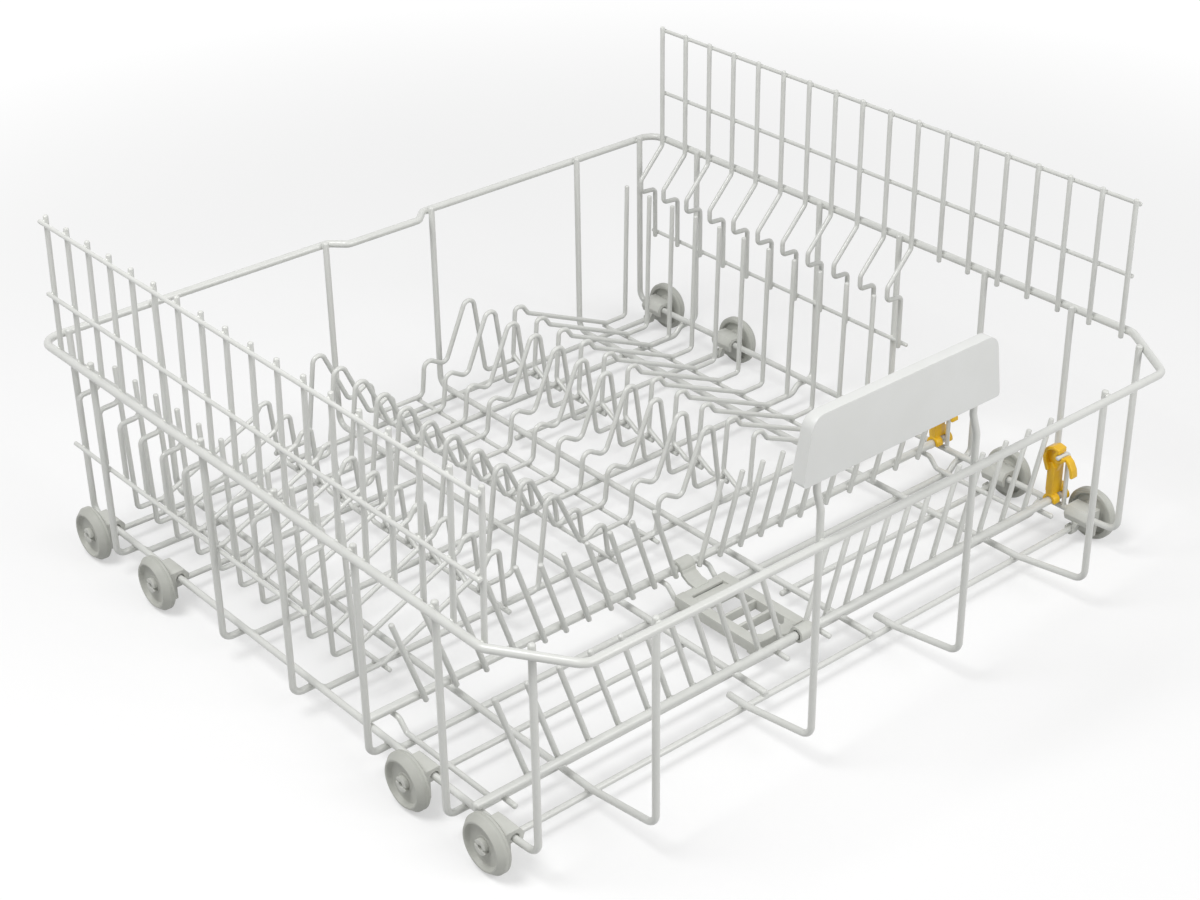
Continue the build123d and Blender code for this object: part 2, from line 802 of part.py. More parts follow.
for side in (-1, 1):
    for number, y in enumerate(wheel_y, start=1):
        spin = Axis((0.0, y, wheel_r), (1, 0, 0))
        with BuildPart() as wheel:
            with BuildSketch(Plane(origin=(side * wheel_inner_x, y, wheel_r), x_dir=(side, 0, 0))):
                with BuildLine():
                    Polyline(*wheel_outline)
                make_face()
            revolve(axis=spin)
        save(wheel.part, f"wheel_{side_name(side)}_{number}")

        outward = Plane(origin=(side * bracket_inner_x, y, 0), x_dir=(0, 1, 0), z_dir=(1, 0, 0))
        axle_plane = Plane(origin=(side * axle_start, y, wheel_r), x_dir=(0, 1, 0), z_dir=(side, 0, 0))
        with BuildPart() as bracket:
            with BuildSketch(outward):
                with Locations((0.0, (bracket_low + bracket_high) / 2)):
                    Rectangle(2 * bracket_half, bracket_high - bracket_low)
            extrude(amount=side * (bracket_outer_x - bracket_inner_x))
            roof_edges = bracket.faces().sort_by(Axis.Z)[-1].edges().filter_by(Axis.Y)
            chamfer(roof_edges.sort_by(lambda edge: abs(edge.center().X))[0], length=bracket_chamfer)
            with Locations((side * side_x, y, side_z)):
                Cylinder(frame_d / 2 + weld, 4 * bracket_half, rotation=(90, 0, 0), mode=Mode.SUBTRACT)
            with Locations((side * socket_mid_x, y + axle_wire_offset, axle_wire_z)):
                Cylinder(axle_wire_d / 2 + weld, socket_depth, rotation=(0, 90, 0), mode=Mode.SUBTRACT)
            with BuildSketch(axle_plane):
                Circle(axle_r)
            extrude(amount=axle_head_x - axle_start)
            with BuildSketch(axle_plane.offset(axle_head_x - axle_start)):
                Circle(axle_head_r)
            extrude(amount=axle_head_length, taper=axle_head_taper)
            with Locations((side * (axle_head_x + axle_head_length), y, wheel_r)):
                Box(2 * (axle_head_length + 5.0), axle_slot, 4 * axle_head_r, mode=Mode.SUBTRACT)
        save(bracket.part, f"bracket_{side_name(side)}_{number}")
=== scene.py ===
"""Looks of a dishwasher's lower rack: coated wires, welds, wheels, folding spikes, levers and handle.

Sizes are in millimetres and become metres when a mesh is made.
X runs to the right, Y to the back, Z up, and the wheels stand on Z = 0.
"""

import logging
import math
from collections.abc import Callable, Sequence
from dataclasses import dataclass, field
from enum import Enum

import bmesh
import bpy
from mathutils import Matrix, Vector

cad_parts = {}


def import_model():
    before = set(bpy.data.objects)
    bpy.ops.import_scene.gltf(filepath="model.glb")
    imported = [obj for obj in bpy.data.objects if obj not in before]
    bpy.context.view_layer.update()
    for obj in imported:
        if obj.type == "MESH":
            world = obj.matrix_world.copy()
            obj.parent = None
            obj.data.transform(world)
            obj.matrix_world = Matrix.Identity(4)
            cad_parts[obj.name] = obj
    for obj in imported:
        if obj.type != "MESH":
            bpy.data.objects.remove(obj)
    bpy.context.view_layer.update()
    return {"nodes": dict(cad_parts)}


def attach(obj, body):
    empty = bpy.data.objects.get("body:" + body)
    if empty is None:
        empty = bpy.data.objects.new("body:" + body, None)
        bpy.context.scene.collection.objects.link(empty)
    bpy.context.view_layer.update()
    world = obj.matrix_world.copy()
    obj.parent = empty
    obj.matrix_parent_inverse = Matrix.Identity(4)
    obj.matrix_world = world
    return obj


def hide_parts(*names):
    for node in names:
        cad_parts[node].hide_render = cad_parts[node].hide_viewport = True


LOG = logging.getLogger("rack")
MM = 0.001
Point = tuple[float, float, float]
Flat = tuple[float, float]
Colour = tuple[int, int, int]
Place = Callable[[float, float, float], Point]
Values = dict[str | int, object]
ACROSS_X: Point = (1.0, 0.0, 0.0)
ACROSS_Y: Point = (0.0, 1.0, 0.0)
ACROSS_Z: Point = (0.0, 0.0, 1.0)


class Body(Enum):
    """Bodies of the rack that are not wheels."""

    BASKET = "basket"
    REAR_SPIKES = "rear_spikes"
    FRONT_SPIKES = "front_spikes"


class Slot(Enum):
    """Finish slots of the rack."""

    WIRE = "coated_wire"
    WHEEL = "wheel_plastic"
    BRACKET = "bracket_plastic"
    HANDLE = "handle_plastic"
    LEVER = "lever_plastic"


class Side(Enum):
    """Left and right half of the rack, with the sign of X."""

    LEFT = -1
    RIGHT = 1

    @property
    def word(self) -> str:
        """The side's name as it stands in piece names."""
        return self.name.lower()


@dataclass(frozen=True)
class Finish:
    """One surface finish: its tones, its grain, its gloss, and a lighter edge tone that paints both wear and
    an edge highlight.

    Scales are in features per metre, lengths in millimetres.
    """

    name: str
    slot: Slot
    tone: Colour
    deep: Colour
    drift_scale: float
    drift_share: float
    grain_scale: float
    grain_height: float
    roughness: float
    roughness_spread: float
    coat: float
    coat_roughness: float
    # Lighter tone along the edges: partly wear, partly a painted edge highlight.
    wear_sheen_tone: Colour | None = None
    wear_sheen_radius: float = 0.5
    wear_sheen_gain: float = 2.0


WIRE_COATING = Finish(
    name="wire_coating",
    slot=Slot.WIRE,
    tone=(219, 220, 216),
    deep=(211, 212, 207),
    drift_scale=40.0,
    drift_share=0.4,
    grain_scale=900.0,
    grain_height=0.008,
    roughness=0.3,
    roughness_spread=0.06,
    coat=0.3,
    coat_roughness=0.12,
)
WHEEL_PLASTIC = Finish(
    name="wheel_plastic",
    slot=Slot.WHEEL,
    tone=(189, 190, 183),
    deep=(180, 181, 174),
    drift_scale=110.0,
    drift_share=0.6,
    grain_scale=2600.0,
    grain_height=0.02,
    roughness=0.52,
    roughness_spread=0.12,
    coat=0.0,
    coat_roughness=0.3,
    # Lighter edge tone: wear and a painted edge highlight.
    wear_sheen_tone=(206, 207, 202),
    wear_sheen_radius=0.7,
    wear_sheen_gain=1.6,
)
BRACKET_PLASTIC = Finish(
    name="bracket_plastic",
    slot=Slot.BRACKET,
    tone=(204, 205, 199),
    deep=(196, 197, 190),
    drift_scale=130.0,
    drift_share=0.6,
    grain_scale=2400.0,
    grain_height=0.018,
    roughness=0.48,
    roughness_spread=0.12,
    coat=0.05,
    coat_roughness=0.3,
    # Lighter edge tone: wear and a painted edge highlight.
    wear_sheen_tone=(214, 215, 210),
    wear_sheen_radius=0.6,
    wear_sheen_gain=1.4,
)
HANDLE_PLASTIC = Finish(
    name="handle_plastic",
    slot=Slot.HANDLE,
    tone=(229, 230, 228),
    deep=(224, 225, 222),
    drift_scale=28.0,
    drift_share=0.8,
    grain_scale=3200.0,
    grain_height=0.012,
    roughness=0.40,
    roughness_spread=0.08,
    coat=0.12,
    coat_roughness=0.25,
    # Lighter edge tone: wear and a painted edge highlight.
    wear_sheen_tone=(236, 237, 236),
    wear_sheen_radius=0.8,
    wear_sheen_gain=1.0,
)
LEVER_PLASTIC = Finish(
    name="lever_plastic",
    slot=Slot.LEVER,
    tone=(240, 192, 22),
    deep=(232, 178, 12),
    drift_scale=140.0,
    drift_share=0.7,
    grain_scale=1900.0,
    grain_height=0.012,
    roughness=0.34,
    roughness_spread=0.1,
    coat=0.2,
    coat_roughness=0.2,
    # Paler edge tone: wear and a painted edge highlight.
    wear_sheen_tone=(247, 206, 74),
    wear_sheen_radius=0.6,
    wear_sheen_gain=1.5,
)


def linear(colour: Colour) -> tuple[float, float, float, float]:
    """Turns a display colour into the linear values that shader sockets take.

    Args:
        colour: red, green and blue from 0 to 255.

    Returns:
        The linear colour with an alpha of one.
    """
    shares = [channel / 255.0 for channel in colour]
    values = [s / 12.92 if s <= 0.04045 else ((s + 0.055) / 1.055) ** 2.4 for s in shares]
    return values[0], values[1], values[2], 1.0


class TreeDraft:
    """A node tree written as named nodes and the links between their sockets."""

    def __init__(self, tree: bpy.types.NodeTree) -> None:
        """Starts on a node tree."""
        self.tree = tree
        self.nodes: dict[str, bpy.types.Node] = {}

    def add(self, name: str, kind: str, values: Values | None = None, **settings: object) -> bpy.types.Node:
        """Adds a node.

        Args:
            name: the short name that links use.
            kind: the node's type name.
            values: what its inputs hold, by the input's name or number.
            settings: attributes to set on it.

        Returns:
            The new node.
        """
        made = self.tree.nodes.new(kind)
        for key, value in settings.items():
            setattr(made, key, value)
        for key, value in (values or {}).items():
            made.inputs[key].default_value = value
        self.nodes[name] = made
        return made

    def _socket(self, end: str, outgoing: bool) -> bpy.types.NodeSocket:
        """Finds a socket written as its node's name, a dot and its own name or number."""
        name, key = end.strip().split(".")
        sockets = self.nodes[name].outputs if outgoing else self.nodes[name].inputs
        return sockets[int(key) if key.isdigit() else key]

    def link(self, *pairs: str) -> None:
        """Links sockets, each pair written as "node.output > node.input"."""
        for pair in pairs:
            out, into = pair.split(">")
            self.tree.links.new(self._socket(out, True), self._socket(into, False))


class TreeGroup(TreeDraft):
    """A node group with named inputs and outputs."""

    def __init__(self, name: str, kind: str) -> None:
        """Starts an empty group with its two ends as the nodes "in" and "out"."""
        super().__init__(bpy.data.node_groups.new(name, kind))
        self.keys: dict[str, str] = {}
        self.add("in", "NodeGroupInput")
        self.add("out", "NodeGroupOutput")

    def takes(self, kind: str, *names: str) -> None:
        """Adds named inputs of one kind and keeps their identifiers."""
        for name in names:
            socket = self.tree.interface.new_socket(name, in_out="INPUT", socket_type=f"NodeSocket{kind}")
            self.keys[name] = socket.identifier

    def gives(self, kind: str, *names: str) -> None:
        """Adds named outputs of one kind."""
        for name in names:
            self.tree.interface.new_socket(name, in_out="OUTPUT", socket_type=f"NodeSocket{kind}")


def tone_drift() -> bpy.types.NodeTree:
    """Makes slow, cloudy changes between two tones."""
    group = TreeGroup("tone_drift", "ShaderNodeTree")
    group.takes("Color", "Tone", "Deep Tone")
    group.takes("Float", "Scale", "Share")
    group.gives("Color", "Color")
    group.add("where", "ShaderNodeTexCoord")
    group.add("clouds", "ShaderNodeTexNoise", {"Detail": 3.0, "Roughness": 0.55})
    group.add("spread", "ShaderNodeMapRange", {"From Min": 0.36, "From Max": 0.66})
    group.add("share", "ShaderNodeMath", operation="MULTIPLY")
    group.add("blend", "ShaderNodeMix", data_type="RGBA")
    group.link(
        "where.Object > clouds.Vector",
        "in.Scale > clouds.Scale",
        "clouds.Fac > spread.Value",
        "spread.Result > share.0",
        "in.Share > share.1",
        "share.0 > blend.0",
        "in.Tone > blend.6",
        "in.Deep Tone > blend.7",
        "blend.2 > out.Color",
    )
    return group.tree


def fine_grain() -> bpy.types.NodeTree:
    """Makes the small unevenness of a coating or a moulded skin, and the gloss that goes with it."""
    group = TreeGroup("fine_grain", "ShaderNodeTree")
    group.takes("Float", "Scale", "Roughness", "Spread")
    group.gives("Float", "Height", "Roughness")
    group.add("where", "ShaderNodeTexCoord")
    group.add("waves", "ShaderNodeTexNoise", {"Detail": 2.0, "Roughness": 0.45})
    group.add("slow_scale", "ShaderNodeMath", {1: 0.22}, operation="MULTIPLY")
    group.add("slow", "ShaderNodeTexNoise", {"Detail": 2.0})
    group.add("height", "ShaderNodeMath", {1: 0.6}, operation="MULTIPLY_ADD")
    group.add("centred", "ShaderNodeMath", {1: 0.5}, operation="SUBTRACT")
    group.add("gloss", "ShaderNodeMath", operation="MULTIPLY_ADD", use_clamp=True)
    group.link(
        "where.Object > waves.Vector",
        "where.Object > slow.Vector",
        "in.Scale > waves.Scale",
        "in.Scale > slow_scale.0",
        "slow_scale.0 > slow.Scale",
        "slow.Fac > height.0",
        "waves.Fac > height.2",
        "slow.Fac > centred.0",
        "centred.0 > gloss.0",
        "in.Spread > gloss.1",
        "in.Roughness > gloss.2",
        "height.0 > out.Height",
        "gloss.0 > out.Roughness",
    )
    return group.tree


def edge_wear_and_sheen() -> bpy.types.NodeTree:
    """Makes a mask along the edges of a moulded piece, broken up by noise, for wear and a painted edge
    highlight.
    """
    group = TreeGroup("edge_wear_and_sheen", "ShaderNodeTree")
    group.takes("Float", "Radius", "Gain")
    group.gives("Float", "Mask")
    group.add("soft", "ShaderNodeBevel", samples=4)
    group.add("flat", "ShaderNodeNewGeometry")
    group.add("turn", "ShaderNodeVectorMath", operation="DOT_PRODUCT")
    group.add("bend", "ShaderNodeMath", {0: 1.0}, operation="SUBTRACT")
    group.add("where", "ShaderNodeTexCoord")
    group.add("breaks", "ShaderNodeTexNoise", {"Scale": 420.0, "Detail": 3.0})
    group.add("worn", "ShaderNodeMath", operation="MULTIPLY")
    group.add("mask", "ShaderNodeMath", operation="MULTIPLY", use_clamp=True)
    group.link(
        "in.Radius > soft.Radius",
        "soft.Normal > turn.0",
        "flat.Normal > turn.1",
        "turn.Value > bend.1",
        "where.Object > breaks.Vector",
        "bend.0 > worn.0",
        "breaks.Fac > worn.1",
        "worn.0 > mask.0",
        "in.Gain > mask.1",
        "mask.0 > out.Mask",
    )
    return group.tree


class FinishShop:
    """Turns finishes into materials, each one once."""

    BUMP_STRENGTH = 0.6

    def __init__(self) -> None:
        """Builds the effects that the finishes share."""
        self.drift = tone_drift()
        self.grain = fine_grain()
        self.rub = edge_wear_and_sheen()
        self.made: dict[str, bpy.types.Material] = {}

    def material(self, finish: Finish) -> bpy.types.Material:
        """Gives the material of a finish, made on its first use."""
        if finish.name not in self.made:
            self.made[finish.name] = self._make(finish)
        return self.made[finish.name]

    def _make(self, finish: Finish) -> bpy.types.Material:
        """Makes a material.

        Args:
            finish: the finish to make.

        Returns:
            The procedural material.
        """
        made = bpy.data.materials.new(finish.name)
        made.use_nodes = True
        draft = TreeDraft(made.node_tree)
        shader = made.node_tree.nodes["Principled BSDF"]
        draft.nodes["shader"] = shader
        shader.inputs["Coat Weight"].default_value = finish.coat
        shader.inputs["Coat Roughness"].default_value = finish.coat_roughness
        tones = {"Tone": linear(finish.tone), "Deep Tone": linear(finish.deep)}
        clouds = {"Scale": finish.drift_scale, "Share": finish.drift_share}
        draft.add("tone", "ShaderNodeGroup", tones | clouds, node_tree=self.drift)
        gloss = {"Roughness": finish.roughness, "Spread": finish.roughness_spread}
        draft.add("grain", "ShaderNodeGroup", gloss | {"Scale": finish.grain_scale}, node_tree=self.grain)
        bump = {"Strength": self.BUMP_STRENGTH, "Distance": finish.grain_height * MM}
        draft.add("bump", "ShaderNodeBump", bump)
        draft.link(
            "grain.Height > bump.Height",
            "bump.Normal > shader.Normal",
            "grain.Roughness > shader.Roughness",
        )
        if finish.wear_sheen_tone is None:
            draft.link("tone.Color > shader.Base Color")
            return made
        # Edges blend towards a lighter tone: wear and a painted edge highlight.
        edge = {"Radius": finish.wear_sheen_radius * MM, "Gain": finish.wear_sheen_gain}
        draft.add("rub", "ShaderNodeGroup", edge, node_tree=self.rub)
        draft.add("worn", "ShaderNodeMix", {7: linear(finish.wear_sheen_tone)}, data_type="RGBA")
        draft.link("rub.Mask > worn.0", "tone.Color > worn.6", "worn.2 > shader.Base Color")
        return made


def settle(piece: bpy.types.Object) -> None:
    """Turns a piece's modifiers into its plain mesh and removes them."""
    graph = bpy.context.evaluated_depsgraph_get()
    plain = bpy.data.meshes.new_from_object(piece.evaluated_get(graph), depsgraph=graph)
    plain.name = piece.name
    piece.modifiers.clear()
    piece.data = plain


def linked(name: str, data: bpy.types.ID) -> bpy.types.Object:
    """Makes an object of that name in the scene and returns it."""
    made = bpy.data.objects.new(name, data)
    bpy.context.scene.collection.objects.link(made)
    return made


@dataclass
class WireRun:
    """One bent wire, and the places at which it is repeated."""

    name: str
    diameter: float
    path: Sequence[Point]
    bends: Sequence[float] | float = 0.0
    stations: Sequence[Point] = ((0.0, 0.0, 0.0),)
    body: Body = Body.BASKET
    label: str = ""
    closed: bool = False
    arc_step: float = 9.0
    dome_depth: float = 0.62
    dome_angles: tuple[float, ...] = (12.0, 34.0, 56.0, 76.0, 90.0)

    def _corners(self) -> list[Vector]:
        """Lists the path's points with every bend turned into a short row of points."""
        points = [Vector(p) for p in self.path]
        bends = self.bends
        if not isinstance(bends, (list, tuple)):
            bends = [bends] * (len(points) - 2)
        line = [points[0]]
        for before, corner, after, radius in zip(points, points[1:], points[2:], bends):
            back = (before - corner).normalized()
            ahead = (after - corner).normalized()
            half = back.angle(ahead) / 2
            reach = radius / math.tan(half)
            centre = corner + (back + ahead).normalized() * (radius / math.sin(half))
            first = corner + back * reach - centre
            last = corner + ahead * reach - centre
            steps = max(2, math.ceil(math.degrees(math.pi - 2 * half) / self.arc_step))
            line.extend(centre + first.slerp(last, k / steps).normalized() * radius for k in range(steps + 1))
        line.append(points[-1])
        return line

    def _domed(self, line: list[Vector]) -> tuple[list[Vector], list[float]]:
        """Closes both ends of a line in a low dome.

        Args:
            line: the points from end to end.

        Returns:
            The points, and the wire's radius at each of them.
        """
        radius = self.diameter / 2
        dome = []
        for angle in self.dome_angles:
            turn = math.radians(angle)
            dome.append((radius * self.dome_depth * (1 - math.cos(turn)), radius * math.sin(turn)))
        start = (line[1] - line[0]).normalized()
        end = (line[-2] - line[-1]).normalized()
        points = [line[0] + start * depth for depth, _ in dome]
        radii = [width for _, width in dome]
        points += line[1:-1]
        radii += [radius] * (len(line) - 2)
        points += [line[-1] + end * depth for depth, _ in reversed(dome)]
        radii += [width for _, width in reversed(dome)]
        return points, radii

    def draft(self) -> bpy.types.Mesh:
        """Writes the wire's line and its stations as the points that the wire tree reads.

        Returns:
            A mesh of edges and loose points with their radius and kind as attributes.
        """
        line = self._corners()
        if self.closed:
            points = line[:-1]
            radii = [self.diameter / 2] * len(points)
        else:
            points, radii = self._domed(line)
        count = len(points)
        edges = [(k, k + 1) for k in range(count - 1)]
        if self.closed:
            edges.append((count - 1, 0))
        mesh = bpy.data.meshes.new(self.name)
        everything = [*points, *(Vector(s) for s in self.stations)]
        mesh.from_pydata([p * MM for p in everything], edges, [])
        width = mesh.attributes.new("wire_radius", "FLOAT", "POINT")
        width.data.foreach_set("value", [r * MM for r in radii] + [0.0] * len(self.stations))
        kind = mesh.attributes.new("is_station", "BOOLEAN", "POINT")
        kind.data.foreach_set("value", [False] * count + [True] * len(self.stations))
        return mesh


class RepeatTree(TreeGroup):
    """A geometry node tree that repeats one form at points and coats it."""

    def __init__(self, name: str, **inputs: str) -> None:
        """Adds the tree's ends and its last steps.

        Args:
            name: the tree's name.
            inputs: kinds of its own inputs by their names.
        """
        super().__init__(name, "GeometryNodeTree")
        self.takes("Geometry", "Geometry")
        self.gives("Geometry", "Geometry")
        for key, kind in inputs.items():
            self.takes(kind, key)
        self.takes("Material", "Finish")
        self.add("row", "GeometryNodeInstanceOnPoints")
        self.add("real", "GeometryNodeRealizeInstances")
        self.add("smooth", "GeometryNodeSetShadeSmooth")
        self.add("coat", "GeometryNodeSetMaterial")
        self.link(
            "row.Instances > real.Geometry",
            "real.Geometry > smooth.Geometry",
            "smooth.Geometry > coat.Geometry",
            "in.Finish > coat.Material",
            "coat.Geometry > out.Geometry",
        )

    def attribute(self, name: str, kind: str) -> None:
        """Reads an attribute of the points in a node of the same name."""
        self.add(name, "GeometryNodeInputNamedAttribute", {"Name": name}, data_type=kind)

    def run(self, piece: bpy.types.Object, **values: object) -> None:
        """Runs the tree on a piece and keeps the result as its plain mesh.

        Args:
            piece: the object whose mesh the tree reads.
            values: the tree's inputs by their names.
        """
        modifier = piece.modifiers.new(self.tree.name, "NODES")
        modifier.node_group = self.tree
        for key, value in values.items():
            modifier[self.keys[key]] = value
        settle(piece)


class CoatedWireTree(RepeatTree):
    """Sweeps a round wire along a line and repeats it at each station."""

    def __init__(self) -> None:
        """Builds the tree."""
        super().__init__("coated_wire", Sides="Int")
        self.attribute("is_station", "BOOLEAN")
        self.attribute("wire_radius", "FLOAT")
        self.add("split", "GeometryNodeSeparateGeometry", domain="POINT")
        self.add("line", "GeometryNodeMeshToCurve")
        self.add("ring", "GeometryNodeCurvePrimitiveCircle", {"Radius": 1.0})
        self.add("wire", "GeometryNodeCurveToMesh", {"Fill Caps": True})
        self.link(
            "in.Geometry > split.Geometry",
            "is_station.Attribute > split.Selection",
            "split.Inverted > line.Mesh",
            "in.Sides > ring.Resolution",
            "line.Curve > wire.Curve",
            "ring.Curve > wire.Profile Curve",
            "wire_radius.Attribute > wire.Scale",
            "split.Selection > row.Points",
            "wire.Mesh > row.Instance",
        )


class WeldBeadTree(RepeatTree):
    """Puts a small coated bead at every point, flattened along the point's axis."""

    def __init__(self) -> None:
        """Builds the tree."""
        super().__init__("weld_beads", Unevenness="Float", Seed="Int")
        self.attribute("bead_axis", "FLOAT_VECTOR")
        self.attribute("bead_size", "FLOAT_VECTOR")
        self.add("ball", "GeometryNodeMeshIcoSphere", {"Subdivisions": 2})
        self.add("turn", "FunctionNodeAlignRotationToVector", axis="Z")
        self.add("low", "ShaderNodeMath", {0: 1.0}, operation="SUBTRACT")
        self.add("high", "ShaderNodeMath", {0: 1.0}, operation="ADD")
        self.add("vary", "FunctionNodeRandomValue", data_type="FLOAT")
        self.add("size", "ShaderNodeVectorMath", operation="SCALE")
        self.link(
            "bead_axis.Attribute > turn.Vector",
            "in.Unevenness > low.1",
            "in.Unevenness > high.1",
            "low.0 > vary.2",
            "high.0 > vary.3",
            "in.Seed > vary.Seed",
            "bead_size.Attribute > size.0",
            "vary.1 > size.Scale",
            "in.Geometry > row.Points",
            "ball.Mesh > row.Instance",
            "turn.Rotation > row.Rotation",
            "size.Vector > row.Scale",
        )


class MeshDraft:
    """Collects the faces of one moulded piece."""

    def __init__(self) -> None:
        """Starts with no faces."""
        self.mesh = bmesh.new()

    def _vertex(self, point: Point) -> bmesh.types.BMVert:
        """Adds a point given in millimetres."""
        return self.mesh.verts.new(Vector(point) * MM)

    def prism(self, outline: Sequence[Flat], place: Place, low: float, high: float) -> None:
        """Adds a closed prism.

        Args:
            outline: corners of its closed outline.
            place: turns outline coordinates and a depth into a point.
            low: depth of one end.
            high: depth of the other end.
        """
        first = [self._vertex(place(u, v, low)) for u, v in outline]
        second = [self._vertex(place(u, v, high)) for u, v in outline]
        self.mesh.faces.new(first)
        self.mesh.faces.new(second)
        for k, corner in enumerate(first):
            after = (k + 1) % len(first)
            self.mesh.faces.new((corner, first[after], second[after], second[k]))

    def tray(self, outline: Sequence[Flat], place: Place, depth: float, open_edge: int) -> None:
        """Adds an open tray: a front face and a wall behind it that leaves out one edge.

        Args:
            outline: corners of the front face.
            place: turns outline coordinates and a depth into a point.
            depth: how far the wall goes back.
            open_edge: index of the edge that gets no wall.
        """
        front = [self._vertex(place(u, v, 0.0)) for u, v in outline]
        back = [self._vertex(place(u, v, depth)) for u, v in outline]
        self.mesh.faces.new(front)
        for k, corner in enumerate(front):
            after = (k + 1) % len(front)
            if k != open_edge:
                self.mesh.faces.new((corner, front[after], back[after], back[k]))

    def lathe(self, profile: Sequence[Flat], place: Place, segments: int) -> None:
        """Adds a closed profile turned round an axis.

        Args:
            profile: closed list of (distance along the axis, radius).
            place: turns (distance, a, b) into a point, with a and b across the axis.
            segments: faces round the axis.
        """
        rings = []
        for k in range(segments):
            turn = 2 * math.pi * k / segments
            across, up = math.cos(turn), math.sin(turn)
            rings.append([self._vertex(place(s, r * across, r * up)) for s, r in profile])
        for ring, following in zip(rings, [*rings[1:], rings[0]]):
            for k, corner in enumerate(ring):
                after = (k + 1) % len(ring)
                self.mesh.faces.new((corner, ring[after], following[after], following[k]))

    def write(self, name: str) -> bpy.types.Mesh:
        """Closes the draft and gives a mesh whose faces point outwards."""
        bmesh.ops.recalc_face_normals(self.mesh, faces=self.mesh.faces[:])
        data = bpy.data.meshes.new(name)
        self.mesh.to_mesh(data)
        self.mesh.free()
        return data


STRAIGHT_ANGLE = math.radians(87)
CORNER_REACH = 0.46
STRAP_END = 0.4


def rounded(outline: Sequence[Flat], radius: float | Sequence[float], steps: int = 5) -> list[Flat]:
    """Rounds the corners of a closed outline.

    Args:
        outline: its corners.
        radius: one radius, or one for each corner.
        steps: edges in each rounded corner.

    Returns:
        The outline with a short row of points at each rounded corner.
    """
    radii = list(radius) if isinstance(radius, (list, tuple)) else [radius] * len(outline)
    points: list[Flat] = []
    for k, corner in enumerate(outline):
        here = Vector(corner)
        back = Vector(outline[k - 1]) - here
        ahead = Vector(outline[(k + 1) % len(outline)]) - here
        half = back.angle(ahead) / 2
        if radii[k] <= 0 or half > STRAIGHT_ANGLE:
            points.append(tuple(corner))
            continue
        reach = min(radii[k] / math.tan(half), CORNER_REACH * back.length, CORNER_REACH * ahead.length)
        size = reach * math.tan(half)
        centre = here + (back.normalized() + ahead.normalized()).normalized() * (size / math.sin(half))
        first = here + back.normalized() * reach - centre
        last = here + ahead.normalized() * reach - centre
        start = math.atan2(first.y, first.x)
        sweep = math.remainder(math.atan2(last.y, last.x) - start, 2 * math.pi)
        for n in range(steps + 1):
            turn = start + sweep * n / steps
            points.append((centre.x + size * math.cos(turn), centre.y + size * math.sin(turn)))
    return points


def arc(centre: Flat, radius: float, start: float, end: float, steps: int = 18) -> list[Flat]:
    """Lists points on an arc, from one angle to the other in degrees."""
    turns = [math.radians(start + (end - start) * n / steps) for n in range(steps + 1)]
    return [(centre[0] + radius * math.cos(t), centre[1] + radius * math.sin(t)) for t in turns]


def clip_ring(centre: Flat, inner: float, outer: float, start: float, end: float) -> list[Flat]:
    """Lists the outline of an open ring between two angles in degrees."""
    return arc(centre, outer, start, end) + arc(centre, inner, end, start)


def ribbon(line: Sequence[Flat], thickness: float, bend: float = 3.0) -> list[Flat]:
    """Turns a line into the outline of a strap of even thickness.

    Args:
        line: its points from end to end.
        thickness: the strap's thickness.
        bend: radius of the strap's corners.

    Returns:
        The closed outline.
    """
    points = [Vector(p) for p in line]
    left, right = [], []
    for k, here in enumerate(points):
        along = (points[min(k + 1, len(points) - 1)] - points[max(k - 1, 0)]).normalized()
        across = Vector((-along.y, along.x)) * thickness / 2
        left.append(tuple(here + across))
        right.append(tuple(here - across))
    end = thickness * STRAP_END
    radii = [end] + [bend] * (len(points) - 2) + [end]
    return rounded(left + right[::-1], radii + radii[::-1], steps=4)


def plane(order: str, origin: Point = (0.0, 0.0, 0.0), sign: int = 1) -> Place:
    """Makes a function that places the points of an outline or a turned form.

    Args:
        order: which of its coordinates u, v and w runs along X, Y and Z, as in "wuv".
        origin: the point that they start from.
        sign: minus one to turn X over.

    Returns:
        The function from the three coordinates to a point.
    """
    x, y, z = ("uvw".index(letter) for letter in order)

    def place(*along: float) -> Point:
        """Places one point."""
        return sign * (origin[0] + along[x]), origin[1] + along[y], origin[2] + along[z]

    return place


@dataclass(frozen=True)
class Bead:
    """One weld bead: its place, the axis across the weld, its half width and half height."""

    place: Point
    axis: Point
    width: float
    height: float


class Weld(Enum):
    """Kinds of weld, with the bead's half width and half height as shares of the wire's diameter."""

    RIM = (0.52, 0.34)
    FLOOR = (0.5, 0.3)
    ROW = (0.5, 0.32)
    SPIKE = (0.56, 0.36)
    HOOP = (0.62, 0.34)

    def beads(self, diameter: float, axis: Point, places: Sequence[Point]) -> list[Bead]:
        """Lists the beads of a wire at the given places."""
        width, height = (diameter * share for share in self.value)
        return [Bead(place, axis, width, height) for place in places]


